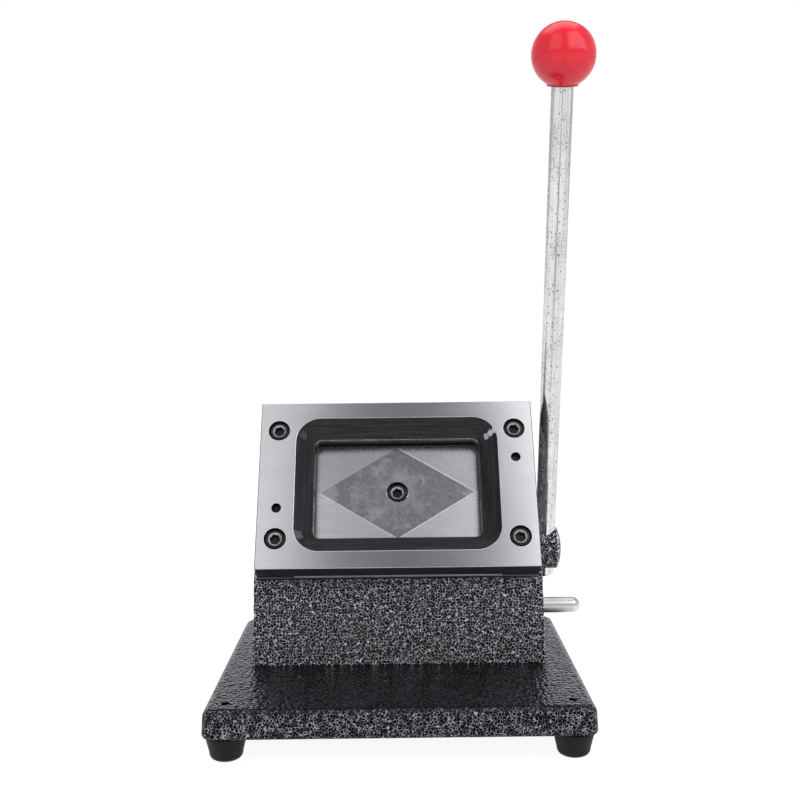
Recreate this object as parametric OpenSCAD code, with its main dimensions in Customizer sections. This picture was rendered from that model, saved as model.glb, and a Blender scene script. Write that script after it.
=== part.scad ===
/* [Base plate] */
// Width of the cast base plate
base_w = 182.5; // [168:0.5:200]
// Depth of the base plate, front to back
base_d = 157; // [142:1:180]
// Thickness of the base plate
base_t = 14; // [12:0.5:20]
// Radius of the base plate's upright corners
base_corner_r = 4; // [3:0.5:12]
// Chamfer round the base plate's top edge
base_edge = 1.5; // [0.5:0.1:2.5]
// How far the base plate's sides lean in from its bottom to its top
base_taper = 0.7; // [0:0.1:1.2]

/* [Rubber feet] */
// Height of a foot
foot_h = 11.5; // [9:0.5:16]
// Diameter of a foot where it meets the base
foot_top_d = 19.5; // [17:0.5:20]
// Diameter of a foot where it meets the table
foot_bottom_d = 14.5; // [13:0.5:16]
// Rounding of a foot's lower edge
foot_round_r = 2; // [0.5:0.1:2]
// Distance of a foot's centre from the edges of the base
foot_inset = 10.5; // [10:0.5:14]
// Diameter of the screw that holds a foot
foot_screw_d = 4; // [3:0.5:5]
// Head diameter of the foot screw
foot_head_d = 8; // [7:0.5:9]
// Head height of the foot screw
foot_head_h = 2.6; // [2:0.1:3.5]
// How far the foot screw reaches into the base
foot_grip = 8; // [6:0.5:10]
// Thickness of rubber that the foot screw's head presses on
foot_clamp_t = 5.5; // [4:0.5:6]
// Width of the foot screw's cross slot
slot_w = 1; // [0.8:0.1:1.4]

/* [Body casting] */
// Width of the body where it stands on the base
body_w = 150.5; // [138:0.5:156]
// Draft angle of the body's two sides
body_draft = 1.7; // [0.5:0.1:2]
// Depth of the body where it stands on the base
body_d = 87; // [86:0.5:92]
// Distance from the base's rear edge to the body's rear face
rear_setback = 4; // [2:0.5:8]
// Height of the front face, up to the lower edge of the sloping seat
seat_front_h = 44.5; // [42:0.5:52]
// Height of the upright rear face
rear_h = 72; // [66:1:80]
// Slope of the die seat against the base
tilt = 59; // [57:0.5:61]
// Wall of the body at the front, the rear and the top
wall = 7; // [5:0.5:8]
// Wall of the body at its sides, measured at the base
side_wall = 9; // [8:0.5:10]
// Thickness of the seat that the die plates are bolted to
seat_t = 12; // [10:0.5:14]
// Rounding of the body's rear shoulder
body_round_r = 10; // [4:1:14]
// Rounding of the body's top edge, behind the seat
top_round_r = 3; // [1:0.5:5]
// Rounding of the seat's lower and upper edges
seat_round_r = 1.5; // [0.5:0.1:2]
// Length of the tapped posts for the screws that hold the body down
post_h = 22; // [18:1:26]
// Diameter of those posts
post_d = 15; // [13:0.5:17]
// How far the screws reach into the posts
post_grip = 15; // [10:0.5:15.5]

/* [Screws] */
// Thread diameter of the cap screws
screw_d = 6; // [5:0.5:6.5]
// Head diameter of the cap screws
screw_head_d = 10; // [9.5:0.1:10.4]
// Head height of the cap screws
screw_head_h = 6; // [5:0.5:6.5]
// Hexagon socket of the cap screws, across flats
screw_hex = 5; // [4:0.5:5.5]
// How far a head lies below the face that it is sunk in
head_sink = 0.6; // [0.2:0.1:1]
// Radial clearance of a counterbore round its screw head
head_gap = 0.6; // [0.4:0.1:0.8]
// Radial clearance of a plain hole round its screw
screw_gap = 0.3; // [0.2:0.05:0.4]
// Radial clearance between a screw and the thread it is drawn in
thread_gap = 0.05; // [0.03:0.01:0.1]
// How far a die screw's tip stays inside the seat
tip_gap = 1.5; // [0.5:0.1:3]

/* [Die plates] */
// How far the die plate's sides lie inside the body's sides, at the seat's lower edge
die_inset = 2.25; // [1.5:0.25:4]
// Length of the die plate along the slope
die_l = 92; // [90:0.5:96]
// Thickness of the die plate
die_t = 12; // [11:0.5:14]
// Height of the slot that the sheet slides into
slot_h = 2; // [1.5:0.1:3]
// Thickness of the lower plate that the sheet lies on
table_t = 4; // [3:0.5:6]
// Width of the two spacers beside the sheet slot
spacer_w = 18.75; // [17:0.25:19.5]
// Width of the card that is cut
card_w = 86; // [84:0.5:87]
// Height of the card that is cut
card_l = 54; // [53:0.5:55]
// Corner radius of the card
card_r = 3.2; // [2:0.1:4]
// Gap between the punch and the window all round
cut_gap = 0.1; // [0.05:0.01:0.15]
// Straight height of the window above the sheet
land_h = 4; // [3:0.5:6]
// Width of the plate's plain rim between its sides and the flared window
rim_w = 18.65; // [17.5:0.05:20]
// Distance of the die screws from the sides of the plate
screw_side = 9.75; // [8.5:0.25:10]
// Distance of the die screws from the lower and upper edges
screw_end = 16; // [14:0.5:18]
// Diameter of the two dowel pins
dowel_d = 5; // [4:0.5:6]
// Distance of the dowels from the plate's middle, along the slope
dowel_v = 13.5; // [13:0.5:14]
// How far a dowel lies below the die plate's face
dowel_sink = 3; // [1:0.5:5]
// How far a dowel reaches into the body
dowel_grip = 8; // [6:0.5:10]

/* [Punch and ram] */
// Thickness of the punch
punch_t = 20; // [16:0.5:24]
// How far the punch rests below the lower plate's face
punch_sink = 0.3; // [0.1:0.1:0.6]
// Depth by which the punch's corners are ground away
shear_h = 0.9; // [0.4:0.1:1.4]
// Distance from the side tips of the punch's flat diamond to the punch's sides
diamond_gap = 2.4; // [0.5:0.1:4]
// How far the punch's screw reaches into the ram
punch_grip = 12; // [8:0.5:14]
// Half width of the ram block
ram_half_w = 34; // [28:1:38]
// Half height of the ram block along the slope
ram_half_l = 21; // [16:1:23]
// Thickness of the ram's two arms
arm_t = 8; // [6:0.5:9]
// Half height of the arms along the slope
arm_half_l = 10; // [8:0.5:12]
// Side clearance between the arms and the body
arm_gap = 1.5; // [1:0.1:2.5]
// Distance from the ends of the arms to the guide pillars
pillar_edge = 6; // [5.5:0.25:7]
// Clearance between the punch and the lower and upper sides of the body's throat
throat_gap = 7; // [5:0.5:7.5]
// Diameter of the guide pillars
pillar_d = 8; // [7:0.5:9]
// Wall of the bronze bushes that the pillars slide in
pillar_bush_wall = 2; // [1.5:0.25:2.5]
// Least metal between a bush and the throat
bush_edge = 1; // [0.5:0.25:1.5]
// Radial running clearance of pillars and shaft
run_gap = 0.05; // [0.03:0.01:0.09]
// Thickness of the hard strip that the cam pushes on
strip_t = 3; // [2.5:0.25:4]
// Half width of the strip
strip_half_w = 20; // [16:1:24]
// Half height of the strip along the slope
strip_half_l = 17; // [14:1:18]
// Diameter of the two screws that hold the strip
strip_screw_d = 4; // [3:0.5:4.5]
// Length of those screws inside the ram
strip_screw_l = 9; // [6:0.5:11]
// Distance of those screws from the ends of the strip
strip_screw_inset = 6; // [5:0.5:7]

/* [Return springs] */
// Wire diameter of a return spring
wire_d = 1.4; // [1:0.1:1.6]
// Turns of a return spring
spring_turns = 4; // [3:1:4]
// Radial clearance between a spring and its pillar
spring_gap = 0.8; // [0.5:0.1:1]
// Clearance at each end of a spring
spring_end_gap = 0.2; // [0.1:0.05:0.4]

/* [Cam and shaft] */
// Diameter of the drive shaft
shaft_d = 18; // [16:0.5:19]
// Depth of the shaft's axis below the die seat
shaft_depth = 52; // [50:0.5:53]
// How far the shaft lies below the punch's middle, along the slope
shaft_drop = 12; // [10:0.5:14]
// Distance from the shaft's axis to the cam face at rest
cam_low = 13; // [12.5:0.1:13.4]
// Rise of the cam for one radian of turn
cam_rise = 5.5; // [4.5:0.1:5.8]
// Angle that the lever turns through
lever_swing = 84; // [70:1:84]
// Angle of cam face beyond each end of the swing
cam_extra = 3; // [2:0.5:5]
// Width of the cam
cam_w = 18; // [14:1:24]
// Hub diameter of the cam
cam_hub_d = 24; // [22.5:0.5:24.5]
// Gap between the cam and the strip
cam_gap = 0.2; // [0.1:0.05:0.4]
// Width and height of the cam's key
key_s = 5; // [4:0.5:6]
// Side clearance of the key
key_gap = 0.05; // [0.03:0.01:0.1]
// Wall of the bushes that carry the shaft
shaft_bush_wall = 2; // [1.5:0.25:2.5]
// Wall of the body round those bushes
boss_wall = 3.2; // [2.5:0.1:3.4]
// Length of the shaft bushes
shaft_bush_l = 20; // [14:0.5:22]
// How far the machined faces round the shaft stand out from the body's sides
boss_out = 0.2; // [0:0.1:1]
// Thickness of the thrust washers
washer_t = 1.4; // [1:0.1:2]
// Outer diameter of the thrust washers
washer_d = 23; // [22:0.5:25]
// Thickness of the retaining ring at the shaft's end
ring_t = 1.2; // [1:0.1:1.5]
// Depth of the ring's groove in the shaft
ring_groove = 1; // [0.6:0.1:1.2]
// How far the retaining ring stands out from the shaft
ring_lip = 1.8; // [1.2:0.1:2.5]
// Opening of the retaining ring
ring_mouth = 5; // [4:0.5:8]
// Length of shaft beyond the retaining ring
shaft_tail = 1.2; // [1:0.1:2]
// End play of the shaft at each washer and at the retaining ring
end_play = 0.1; // [0.05:0.05:0.2]

/* [Lever] */
// Diameter of the lever rod
rod_d = 11; // [10:0.5:12]
// Lean of the lever towards the front, at rest
lever_lean = 15.5; // [10:0.5:20]
// Distance from the shaft's axis to the middle of the ball knob
lever_l = 267; // [230:0.5:290]
// Length of rod below the shaft's axis
rod_tail = 17.5; // [14:0.5:20]
// Diameter of the lever hub
hub_d = 23.5; // [22.5:0.5:26]
// Wall of the hub between its inner face and the rod
hub_side = 1.7; // [1:0.1:2.5]
// Wall of the hub beyond the rod, up to the top of its dome
hub_end = 3.4; // [3:0.1:4.5]
// Metal of the shaft beyond the lever rod
shaft_cap = 1; // [0.8:0.1:1.2]
// Height of the dome on the hub's end
dome_h = 2.4; // [1.5:0.1:2.6]
// Thread diameter of the hub's set screw
set_screw_d = 5; // [4:0.5:6]
// Gap between the set screw and the rod, and its depth below the dome
set_screw_gap = 0.3; // [0.1:0.1:0.5]
// Diameter of the ball knob
knob_d = 31.6; // [28:0.2:36]
// Diameter of the collar under the knob
collar_d = 15.6; // [14:0.2:18]
// Distance from the ball's middle to the end of its collar
collar_end = 14.7; // [14:0.1:17]
// Thread diameter of the rod's end in the knob
stud_d = 8; // [6:0.5:8.5]
// Length of that threaded end
stud_l = 16; // [12:0.5:18]
// Wall of the brass insert in the knob
insert_wall = 2; // [1.5:0.25:3]
// Diameter of the stop pin for the lever
pin_d = 8; // [6:0.5:9]
// Distance of the stop pin behind the body's front face
pin_setback = 8; // [7:0.5:10]
// Gap between the rod and the stop pin at the end of the swing
stop_gap = 0.2; // [0.1:0.05:0.4]
// How far the stop pin stands out from the body's side
pin_out = 18.85; // [16:0.05:24]
// How far the stop pin is pressed into the body
pin_grip = 7; // [6:0.5:7.5]

/* [Hidden] */
$fn = 64;
// overshoot of a cut, so that it leaves the solid cleanly
over = 1;
// how far a strip screw's head lies inside the strip
strip_screw_sink = 0.1;
// depth of the set screw's socket, as a part of its length
socket_part = 0.6;
// steps of a rounded or domed outline
arc_steps = 8;
// allowance of a pressed or seated joint
seat_gap = 0.01;

// places on the base
base_top = foot_h + base_t;
body_rear = base_d / 2 - rear_setback;
body_front = body_rear - body_d;
foot_x = base_w / 2 - foot_inset;
foot_y = base_d / 2 - foot_inset;
foot_head_z = foot_h - foot_clamp_t;

// the slope, as [y, z] directions and points
along = [cos(tilt), sin(tilt)];
outward = [-sin(tilt), cos(tilt)];
stack_t = die_t + slot_h + table_t;
seat_low = [body_front, base_top + seat_front_h];
seat_high = seat_low + die_l * along;
seat_back = seat_high - seat_t * outward;
slope_origin = seat_low + die_l / 2 * along + stack_t * outward;

// heights on the slope, below the die plate's face
sheet_w0 = -die_t - slot_h;
seat_w0 = -stack_t;
under_seat_w0 = seat_w0 - seat_t;
shaft_w0 = seat_w0 - shaft_depth;
punch_w0 = sheet_w0 - punch_sink;
ram_top_w0 = punch_w0 - punch_t;
strip_w0 = shaft_w0 + cam_low + cam_gap;
strip_screw_w0 = strip_w0 + strip_screw_sink;
ram_low_w0 = strip_w0 + strip_t;
arm_top_w0 = ram_low_w0 + arm_t;
stroke = cam_rise * lever_swing * PI / 180;
pillar_top_w0 = seat_w0 - stroke - over;

// the cam's outline: points on its face, and the part of its hub that the face leaves free
cam_steps = 30;
hub_steps = 21;
hub_from = -50;
hub_to = -260;

// the die plate, and the window that the card is cut in
die_w = side_width(base_top + seat_front_h) - 2 * die_inset;
window_w = card_w + 2 * cut_gap;
window_l = card_l + 2 * cut_gap;
window_r = card_r + cut_gap;
flare = (die_w - window_w) / 2 - rim_w;

// widths inside the body
cavity_w = body_w - 2 * side_wall;
arm_half_w = cavity_w / 2 - arm_gap;
bush_d = pillar_d + 2 * pillar_bush_wall;
pillar_x = arm_half_w - pillar_edge;
throat_half_w = pillar_x - bush_d / 2 - bush_edge;
throat_half_l = card_l / 2 + throat_gap;
strip_screw_x = strip_half_w - strip_screw_inset;
post_x = cavity_w / 2 - post_d / 3;
post_front = body_front + wall + post_d / 3;
post_rear = body_rear - wall - post_d / 3;

// the shaft's axis and the pieces along it
shaft_y = slope_origin[0] - shaft_drop * along[0] + shaft_w0 * outward[0];
shaft_z = slope_origin[1] - shaft_drop * along[1] + shaft_w0 * outward[1];
shaft_bush_d = shaft_d + 2 * shaft_bush_wall;
boss_d = shaft_bush_d + 2 * boss_wall;
boss_x = side_width(shaft_z - boss_d / 2) / 2 + boss_out;
washer_x = boss_x + end_play;
hub_x = washer_x + washer_t + end_play;
lever_x = hub_x + hub_side + rod_d / 2;
hub_end_x = lever_x + rod_d / 2 + hub_end;
shaft_end_x = lever_x + rod_d / 2 + shaft_cap;
ring_x = washer_x + washer_t + end_play;
shaft_tail_x = ring_x + ring_t + 2 * end_play + shaft_tail;
insert_d = stud_d + 2 * insert_wall;
rod_nose = rod_d / 4;
rod_tail_top = rod_nose - rod_tail;
knob_low = lever_l - collar_end;

// middle of the machine's box across, between the base's left side and the knob's right side
box_x = (lever_x + knob_d / 2 - base_w / 2) / 2;

// the stop pin lies against the rod at the end of the swing
rod_end = [-sin(lever_lean + lever_swing), cos(lever_lean + lever_swing)];
rod_under = left_of(rod_end);
pin_off = (rod_d + pin_d) / 2 + stop_gap;
pin_y = body_front + pin_setback;
pin_run = (pin_y - shaft_y - pin_off * rod_under[0]) / rod_end[0];
pin_z = shaft_z + pin_run * rod_end[1] + pin_off * rod_under[1];
pin_root_x = side_width(pin_z) / 2 - pin_grip;

// width of the drafted body at a height
function side_width(z) = body_w - 2 * (z - base_top) * tan(body_draft);

// unit vector from one point to another
function toward(a, b) = (b - a) / norm(b - a);

// a direction turned a quarter to the left
function left_of(d) = [-d[1], d[0]];

// neighbours of a point on a closed outline
function before(pts, i) = pts[(i + len(pts) - 1) % len(pts)];
function after(pts, i) = pts[(i + 1) % len(pts)];

// outline moved inwards by a wall, for a convex outline that runs anticlockwise
function inset(pts, d) = [
    for (i = [0 : len(pts) - 1])
        let (p = pts[i],
             m = left_of(toward(before(pts, i), p)),
             n = left_of(toward(p, after(pts, i))))
        p + d * (m + n) / (1 + m * n)
];

// points of an arc of radius r that rounds corner p between a and b
function corner_arc(p, a, b, r) =
    let (u = toward(p, a),
         w = toward(p, b),
         half = acos(u * w) / 2,
         c = p + (u + w) / norm(u + w) * r / sin(half),
         s = p + u * r / tan(half) - c,
         e = p + w * r / tan(half) - c,
         turn = 180 - 2 * half)
    [for (i = [0 : arc_steps])
        let (t = turn * i / arc_steps)
        c + (sin(turn - t) * s + sin(t) * e) / sin(turn)];

// outline with each corner rounded by its own radius
function rounded(pts, radii) = [
    for (i = [0 : len(pts) - 1])
        each radii[i] > 0
            ? corner_arc(pts[i], before(pts, i), after(pts, i), radii[i])
            : [pts[i]]
];

// side outline of the body, with its foot lowered by drop
function body_outline(drop) = [
    [body_front, base_top - drop],
    [body_rear, base_top - drop],
    [body_rear, base_top + rear_h],
    seat_back,
    seat_high,
    seat_low
];

// point of the cam's face that touches the strip after the lever has turned by t degrees
function cam_point(t) =
    let (h = cam_low + cam_rise * t * PI / 180)
    [h * sin(t) + cam_rise * cos(t), h * cos(t) - cam_rise * sin(t)];

// cam outline: the rising face, then back round the hub
function cam_outline() = concat(
    [for (i = [0 : cam_steps]) cam_point(-cam_extra + (lever_swing + 2 * cam_extra) * i / cam_steps)],
    [for (i = [0 : hub_steps]) cam_hub_d / 2 * turned(hub_from + (hub_to - hub_from) * i / hub_steps)]
);

// unit vector at an angle
function turned(a) = [cos(a), sin(a)];

// moves the machine across, so that the origin lies under the middle of its box
module centred() {
    translate([-box_x, 0, 0]) children();
}

// stands its children on the slope: x across, y up the slope, z out of the die plate's face
module on_slope() {
    translate([0, slope_origin[0], slope_origin[1]]) rotate([tilt, 0, 0]) children();
}

// puts the shaft's axis along x through its children's origin, in the slope's directions
module on_shaft() {
    on_slope() translate([0, -shaft_drop, shaft_w0]) children();
}

// stands its children along the lever rod, with z towards the knob
module on_lever() {
    translate([lever_x, shaft_y, shaft_z]) rotate([lever_lean, 0, 0]) children();
}

// extrudes a [y, z] outline across the machine
module across(w) {
    rotate([90, 0, 90]) linear_extrude(w, center = true) children();
}

// cylinder along x that starts at x0
module x_cylinder(x0, l, d) {
    translate([x0, 0, 0]) rotate([0, 90, 0]) cylinder(h = l, d = d);
}

// box centred on the z axis, from z0 up
module block(w, l, z0, h) {
    translate([-w / 2, -l / 2, z0]) cube([w, l, h]);
}

// rounded rectangle that grows by a step on every side over its height
module rounded_frustum(w, l, r, grow, h) {
    for (x = [-1, 1], y = [-1, 1])
        translate([x * (w / 2 - r), y * (l / 2 - r), 0]) cylinder(h = h, r1 = r, r2 = r + grow);
    rotate([90, 0, 0]) linear_extrude(l - 2 * r, center = true) side_trapezium(w, grow, h);
    rotate([90, 0, 90]) linear_extrude(w - 2 * r, center = true) side_trapezium(l, grow, h);
}

// side view of a slab that grows by a step on both sides
module side_trapezium(w, grow, h) {
    polygon([[-w / 2, 0], [w / 2, 0], [w / 2 + grow, h], [-w / 2 - grow, h]]);
}

// upright slab with rounded corners
module slab(w, l, r, h) {
    rounded_frustum(w, l, r, 0, h);
}

// places of the four feet on the base
module at_feet() {
    for (x = [-1, 1], y = [-1, 1]) translate([x * foot_x, y * foot_y, 0]) children();
}

// places of the four screws that hold the body to the base
module at_posts() {
    for (x = [-1, 1], y = [post_front, post_rear]) translate([x * post_x, y, 0]) children();
}

// places of the four die screws on the slope
module at_die_screws() {
    for (x = [-1, 1], y = [-1, 1])
        translate([x * (die_w / 2 - screw_side), y * (die_l / 2 - screw_end), 0]) children();
}

// places of the two dowels on the slope, on one diagonal
module at_dowels() {
    for (s = [-1, 1]) translate([s * (die_w / 2 - screw_side), s * dowel_v, 0]) children();
}

// places of the two guide pillars on the slope
module at_pillars() {
    for (s = [-1, 1]) translate([s * pillar_x, 0, 0]) children();
}

// socket head cap screw, with the top of its head at z = 0 and its thread downwards
module cap_screw(l) {
    difference() {
        union() {
            translate([0, 0, -screw_head_h]) cylinder(h = screw_head_h, d = screw_head_d);
            translate([0, 0, -screw_head_h - l]) cylinder(h = l + over, d = screw_d - 2 * thread_gap);
        }
        translate([0, 0, -screw_head_h / 2]) cylinder(h = screw_head_h, d = screw_hex / cos(30), $fn = 6);
    }
}

// hole for a cap screw, sunk below z = 0 and running down by l
module cap_screw_hole(l) {
    translate([0, 0, -l]) cylinder(h = l, d = screw_d + 2 * screw_gap);
    translate([0, 0, -screw_head_h - head_sink])
        cylinder(h = screw_head_h + head_sink + over, d = screw_head_d + 2 * head_gap);
}

// spring as one unbroken tube along z, from 0 to l, measured at the wire's middle
module coil(r, l) {
    rings = spring_turns * 12;
    sides = 6;
    rise = atan(l / spring_turns / (2 * PI * r));
    points = [
        for (i = [0 : rings], k = [0 : sides - 1])
            let (a = 360 * spring_turns * i / rings,
                 q = 360 * k / sides,
                 out = wire_d / 2 * cos(q),
                 side = wire_d / 2 * sin(q))
            [(r + out) * cos(a) + side * sin(rise) * sin(a),
             (r + out) * sin(a) - side * sin(rise) * cos(a),
             l * i / rings + side * cos(rise)]
    ];
    walls = [
        for (i = [0 : rings - 1], k = [0 : sides - 1], half = [0, 1])
            let (n = (k + 1) % sides, a = i * sides, b = a + sides)
            half == 0 ? [a + k, b + k, b + n] : [a + k, b + n, a + n]
    ];
    first = [for (k = [1 : sides - 2]) [0, k, k + 1]];
    last = [for (k = [1 : sides - 2]) [rings * sides, rings * sides + k + 1, rings * sides + k]];
    polyhedron(points, concat(walls, first, last));
}

module base_plate() {
    color([0.16, 0.17, 0.19])
    difference() {
        translate([0, 0, foot_h]) {
            rounded_frustum(base_w, base_d, base_corner_r, -base_taper, base_t - base_edge);
            translate([0, 0, base_t - base_edge]) rounded_frustum(
                base_w - 2 * base_taper,
                base_d - 2 * base_taper,
                base_corner_r - base_taper,
                -base_edge,
                base_edge
            );
        }
        at_feet() translate([0, 0, foot_h - over]) cylinder(h = base_t + 2 * over, d = foot_screw_d);
        at_posts() translate([0, 0, foot_h]) mirror([0, 0, 1]) cap_screw_hole(base_t + over);
    }
}

module rubber_feet() {
    color([0.05, 0.05, 0.05])
    at_feet() rotate_extrude() difference() {
        polygon(concat(
            [[0, foot_h], [0, 0]],
            corner_arc([foot_bottom_d / 2, 0], [0, 0], [foot_top_d / 2, foot_h], foot_round_r),
            [[foot_top_d / 2, foot_h]]
        ));
        square([foot_screw_d / 2 + screw_gap, foot_h]);
        square([foot_head_d / 2 + screw_gap, foot_head_z]);
    }
}

module foot_screws() {
    color([0.6, 0.6, 0.62])
    at_feet() difference() {
        union() {
            translate([0, 0, foot_head_z - foot_head_h]) cylinder(h = foot_head_h, d = foot_head_d);
            translate([0, 0, foot_head_z - over])
                cylinder(h = foot_h - foot_head_z + foot_grip + over, d = foot_screw_d - 2 * thread_gap);
        }
        for (a = [0, 90]) rotate(a)
            block(foot_head_d / 2, slot_w, foot_head_z - foot_head_h - over, over + foot_head_h / 2);
    }
}

module body_casting() {
    color([0.2, 0.21, 0.22])
    difference() {
        union() {
            difference() {
                body_outside();
                body_cavity();
            }
            for (s = [0, 1]) mirror([s, 0, 0]) translate([0, shaft_y, shaft_z])
                x_cylinder(boss_x - shaft_bush_l, shaft_bush_l, boss_d);
            at_posts() translate([0, 0, base_top]) cylinder(h = post_h, d = post_d);
        }
        on_slope() block(2 * throat_half_w, 2 * throat_half_l, under_seat_w0 - seat_t, 3 * seat_t);
        for (s = [0, 1]) mirror([s, 0, 0]) translate([0, shaft_y, shaft_z])
            x_cylinder(boss_x - shaft_bush_l - over, shaft_bush_l + 2 * over, shaft_bush_d + 2 * seat_gap);
        on_slope() at_die_screws() translate([0, 0, under_seat_w0 - over])
            cylinder(h = seat_t + 2 * over, d = screw_d);
        on_slope() dowel_holes(seat_w0 - dowel_grip, dowel_grip);
        on_slope() at_pillars() translate([0, 0, under_seat_w0 - over])
            cylinder(h = seat_t + 2 * over, d = bush_d + 2 * seat_gap);
        at_posts() translate([0, 0, base_top - over]) cylinder(h = post_grip + 2 * over, d = screw_d);
        translate([0, pin_y, pin_z]) x_cylinder(pin_root_x, body_w, pin_d + 2 * seat_gap);
    }
}

module body_outside() {
    crown_z = seat_high[1] + over;
    crown_w = side_width(crown_z);
    intersection() {
        across(body_w) polygon(rounded(
            body_outline(0),
            [0, 0, body_round_r, top_round_r, seat_round_r, seat_round_r]
        ));
        rotate([90, 0, 0]) linear_extrude(2 * base_d, center = true) polygon([
            [-body_w / 2, base_top],
            [body_w / 2, base_top],
            [crown_w / 2, crown_z],
            [-crown_w / 2, crown_z]
        ]);
    }
}

// hollow of the body, below the seat and open to the base
module body_cavity() {
    difference() {
        across(cavity_w) polygon(inset(body_outline(wall + over), wall));
        on_slope() block(2 * body_w, 2 * die_l, under_seat_w0, 3 * seat_t);
    }
}

module body_screws() {
    color([0.12, 0.12, 0.12])
    at_posts() translate([0, 0, foot_h + head_sink]) mirror([0, 0, 1])
        cap_screw(base_t - screw_head_h - head_sink + post_grip);
}

// opening that the punch passes through, from z = 0 up to h
module window(h) {
    slab(window_w, window_l, window_r, h);
}

// plain holes for the die screws through a plate from z0 up by h
module die_screw_holes(z0, h) {
    at_die_screws() translate([0, 0, z0 - over]) cylinder(h = h + 2 * over, d = screw_d + 2 * screw_gap);
}

// holes for the dowels through a plate from z0 up by h
module dowel_holes(z0, h) {
    at_dowels() translate([0, 0, z0 - over]) cylinder(h = h + 2 * over, d = dowel_d + 2 * seat_gap);
}

module die_plate() {
    color([0.75, 0.76, 0.77])
    on_slope() difference() {
        block(die_w, die_l, -die_t, die_t);
        translate([0, 0, -die_t - over]) window(land_h + 2 * over);
        translate([0, 0, -die_t + land_h])
            rounded_frustum(window_w, window_l, window_r, flare, die_t - land_h);
        at_die_screws() cap_screw_hole(die_t + over);
        dowel_holes(-die_t, die_t);
    }
}

// one side strip that keeps the slot open
module sheet_spacer(side) {
    color([0.7, 0.7, 0.68])
    on_slope() difference() {
        translate([side * (die_w - spacer_w) / 2, 0, 0]) block(spacer_w, die_l, sheet_w0, slot_h);
        die_screw_holes(sheet_w0, slot_h);
        dowel_holes(sheet_w0, slot_h);
    }
}

module sheet_spacer_left() {
    sheet_spacer(-1);
}

module sheet_spacer_right() {
    sheet_spacer(1);
}

module sheet_table() {
    color([0.72, 0.73, 0.74])
    on_slope() difference() {
        block(die_w, die_l, seat_w0, table_t);
        translate([0, 0, seat_w0 - over]) window(table_t + 2 * over);
        die_screw_holes(seat_w0, table_t);
        dowel_holes(seat_w0, table_t);
    }
}

module die_screws() {
    color([0.12, 0.12, 0.12])
    on_slope() at_die_screws() translate([0, 0, -head_sink])
        cap_screw(stack_t - screw_head_h - head_sink + seat_t - tip_gap);
}

module dowel_pins() {
    color([0.5, 0.5, 0.52])
    on_slope() at_dowels() translate([0, 0, seat_w0 - dowel_grip])
        cylinder(h = stack_t - dowel_sink + dowel_grip, d = dowel_d);
}

module punch() {
    color([0.6, 0.6, 0.6])
    on_slope() difference() {
        translate([0, 0, ram_top_w0]) slab(card_w, card_l, card_r, punch_t);
        for (x = [0, 1], y = [0, 1]) mirror([x, 0, 0]) mirror([0, y, 0]) corner_grind();
        translate([0, 0, punch_w0]) cap_screw_hole(punch_t + over);
    }
}

// wedge ground off one corner of the punch, beyond an edge of the flat diamond
module corner_grind() {
    edge_angle = atan(card_l / card_w);
    reach = (card_w / 2 + diamond_gap) * sin(edge_angle);
    translate([card_w / 2 - diamond_gap, 0, punch_w0])
        rotate([0, 0, 180 - edge_angle])
        rotate([atan(shear_h / reach), 0, 0])
        translate([-card_w, -2 * card_l, 0])
        cube([2 * card_w + card_l, 2 * card_l, 2 * shear_h + over]);
}

module punch_screw() {
    color([0.15, 0.15, 0.15])
    on_slope() translate([0, 0, punch_w0 - head_sink])
        cap_screw(punch_t - screw_head_h - head_sink + punch_grip);
}

module ram() {
    color([0.35, 0.36, 0.38])
    on_slope() difference() {
        union() {
            block(2 * ram_half_w, 2 * ram_half_l, ram_low_w0, ram_top_w0 - ram_low_w0);
            block(2 * arm_half_w, 2 * arm_half_l, ram_low_w0, arm_t);
        }
        translate([0, 0, ram_top_w0 - punch_grip - over]) cylinder(h = punch_grip + 2 * over, d = screw_d);
        at_pillars() translate([0, 0, ram_low_w0 - over])
            cylinder(h = arm_t + 2 * over, d = pillar_d + 2 * seat_gap);
        at_strip_screws() translate([0, 0, ram_low_w0 - over])
            cylinder(h = strip_screw_l + 2 * over, d = strip_screw_d);
    }
}

module guide_pillars() {
    color([0.8, 0.81, 0.82])
    on_slope() at_pillars() translate([0, 0, ram_low_w0])
        cylinder(h = pillar_top_w0 - ram_low_w0, d = pillar_d);
}

module pillar_bushes() {
    color([0.72, 0.55, 0.25])
    on_slope() at_pillars() translate([0, 0, under_seat_w0]) difference() {
        cylinder(h = seat_t, d = bush_d);
        translate([0, 0, -over]) cylinder(h = seat_t + 2 * over, d = pillar_d + 2 * run_gap);
    }
}

// places of the two screws that hold the strip
module at_strip_screws() {
    for (s = [-1, 1]) translate([s * strip_screw_x, 0, 0]) children();
}

module cam_strip() {
    hole_d = strip_screw_d + 2 * screw_gap;
    color([0.55, 0.55, 0.57])
    on_slope() difference() {
        block(2 * strip_half_w, 2 * strip_half_l, strip_w0, strip_t);
        at_strip_screws() translate([0, 0, strip_w0 - over])
            cylinder(h = strip_t + 2 * over, d = hole_d);
        at_strip_screws() translate([0, 0, strip_w0 - seat_gap])
            cylinder(h = strip_screw_d / 2 + seat_gap, d1 = hole_d + strip_screw_d, d2 = hole_d);
    }
}

module strip_screws() {
    color([0.15, 0.15, 0.15])
    on_slope() at_strip_screws() translate([0, 0, strip_screw_w0]) {
        cylinder(h = strip_screw_d / 2, d1 = 2 * strip_screw_d, d2 = strip_screw_d);
        cylinder(h = strip_t + strip_screw_l, d = strip_screw_d - 2 * thread_gap);
    }
}

// one return spring, round the pillar on that side
module return_spring(side) {
    spring_r = (pillar_d + wire_d) / 2 + spring_gap;
    room = under_seat_w0 - arm_top_w0 - wire_d - 2 * spring_end_gap;
    color([0.7, 0.7, 0.72])
    on_slope() translate([side * pillar_x, 0, arm_top_w0 + wire_d / 2 + spring_end_gap])
        coil(spring_r, room);
}

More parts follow.
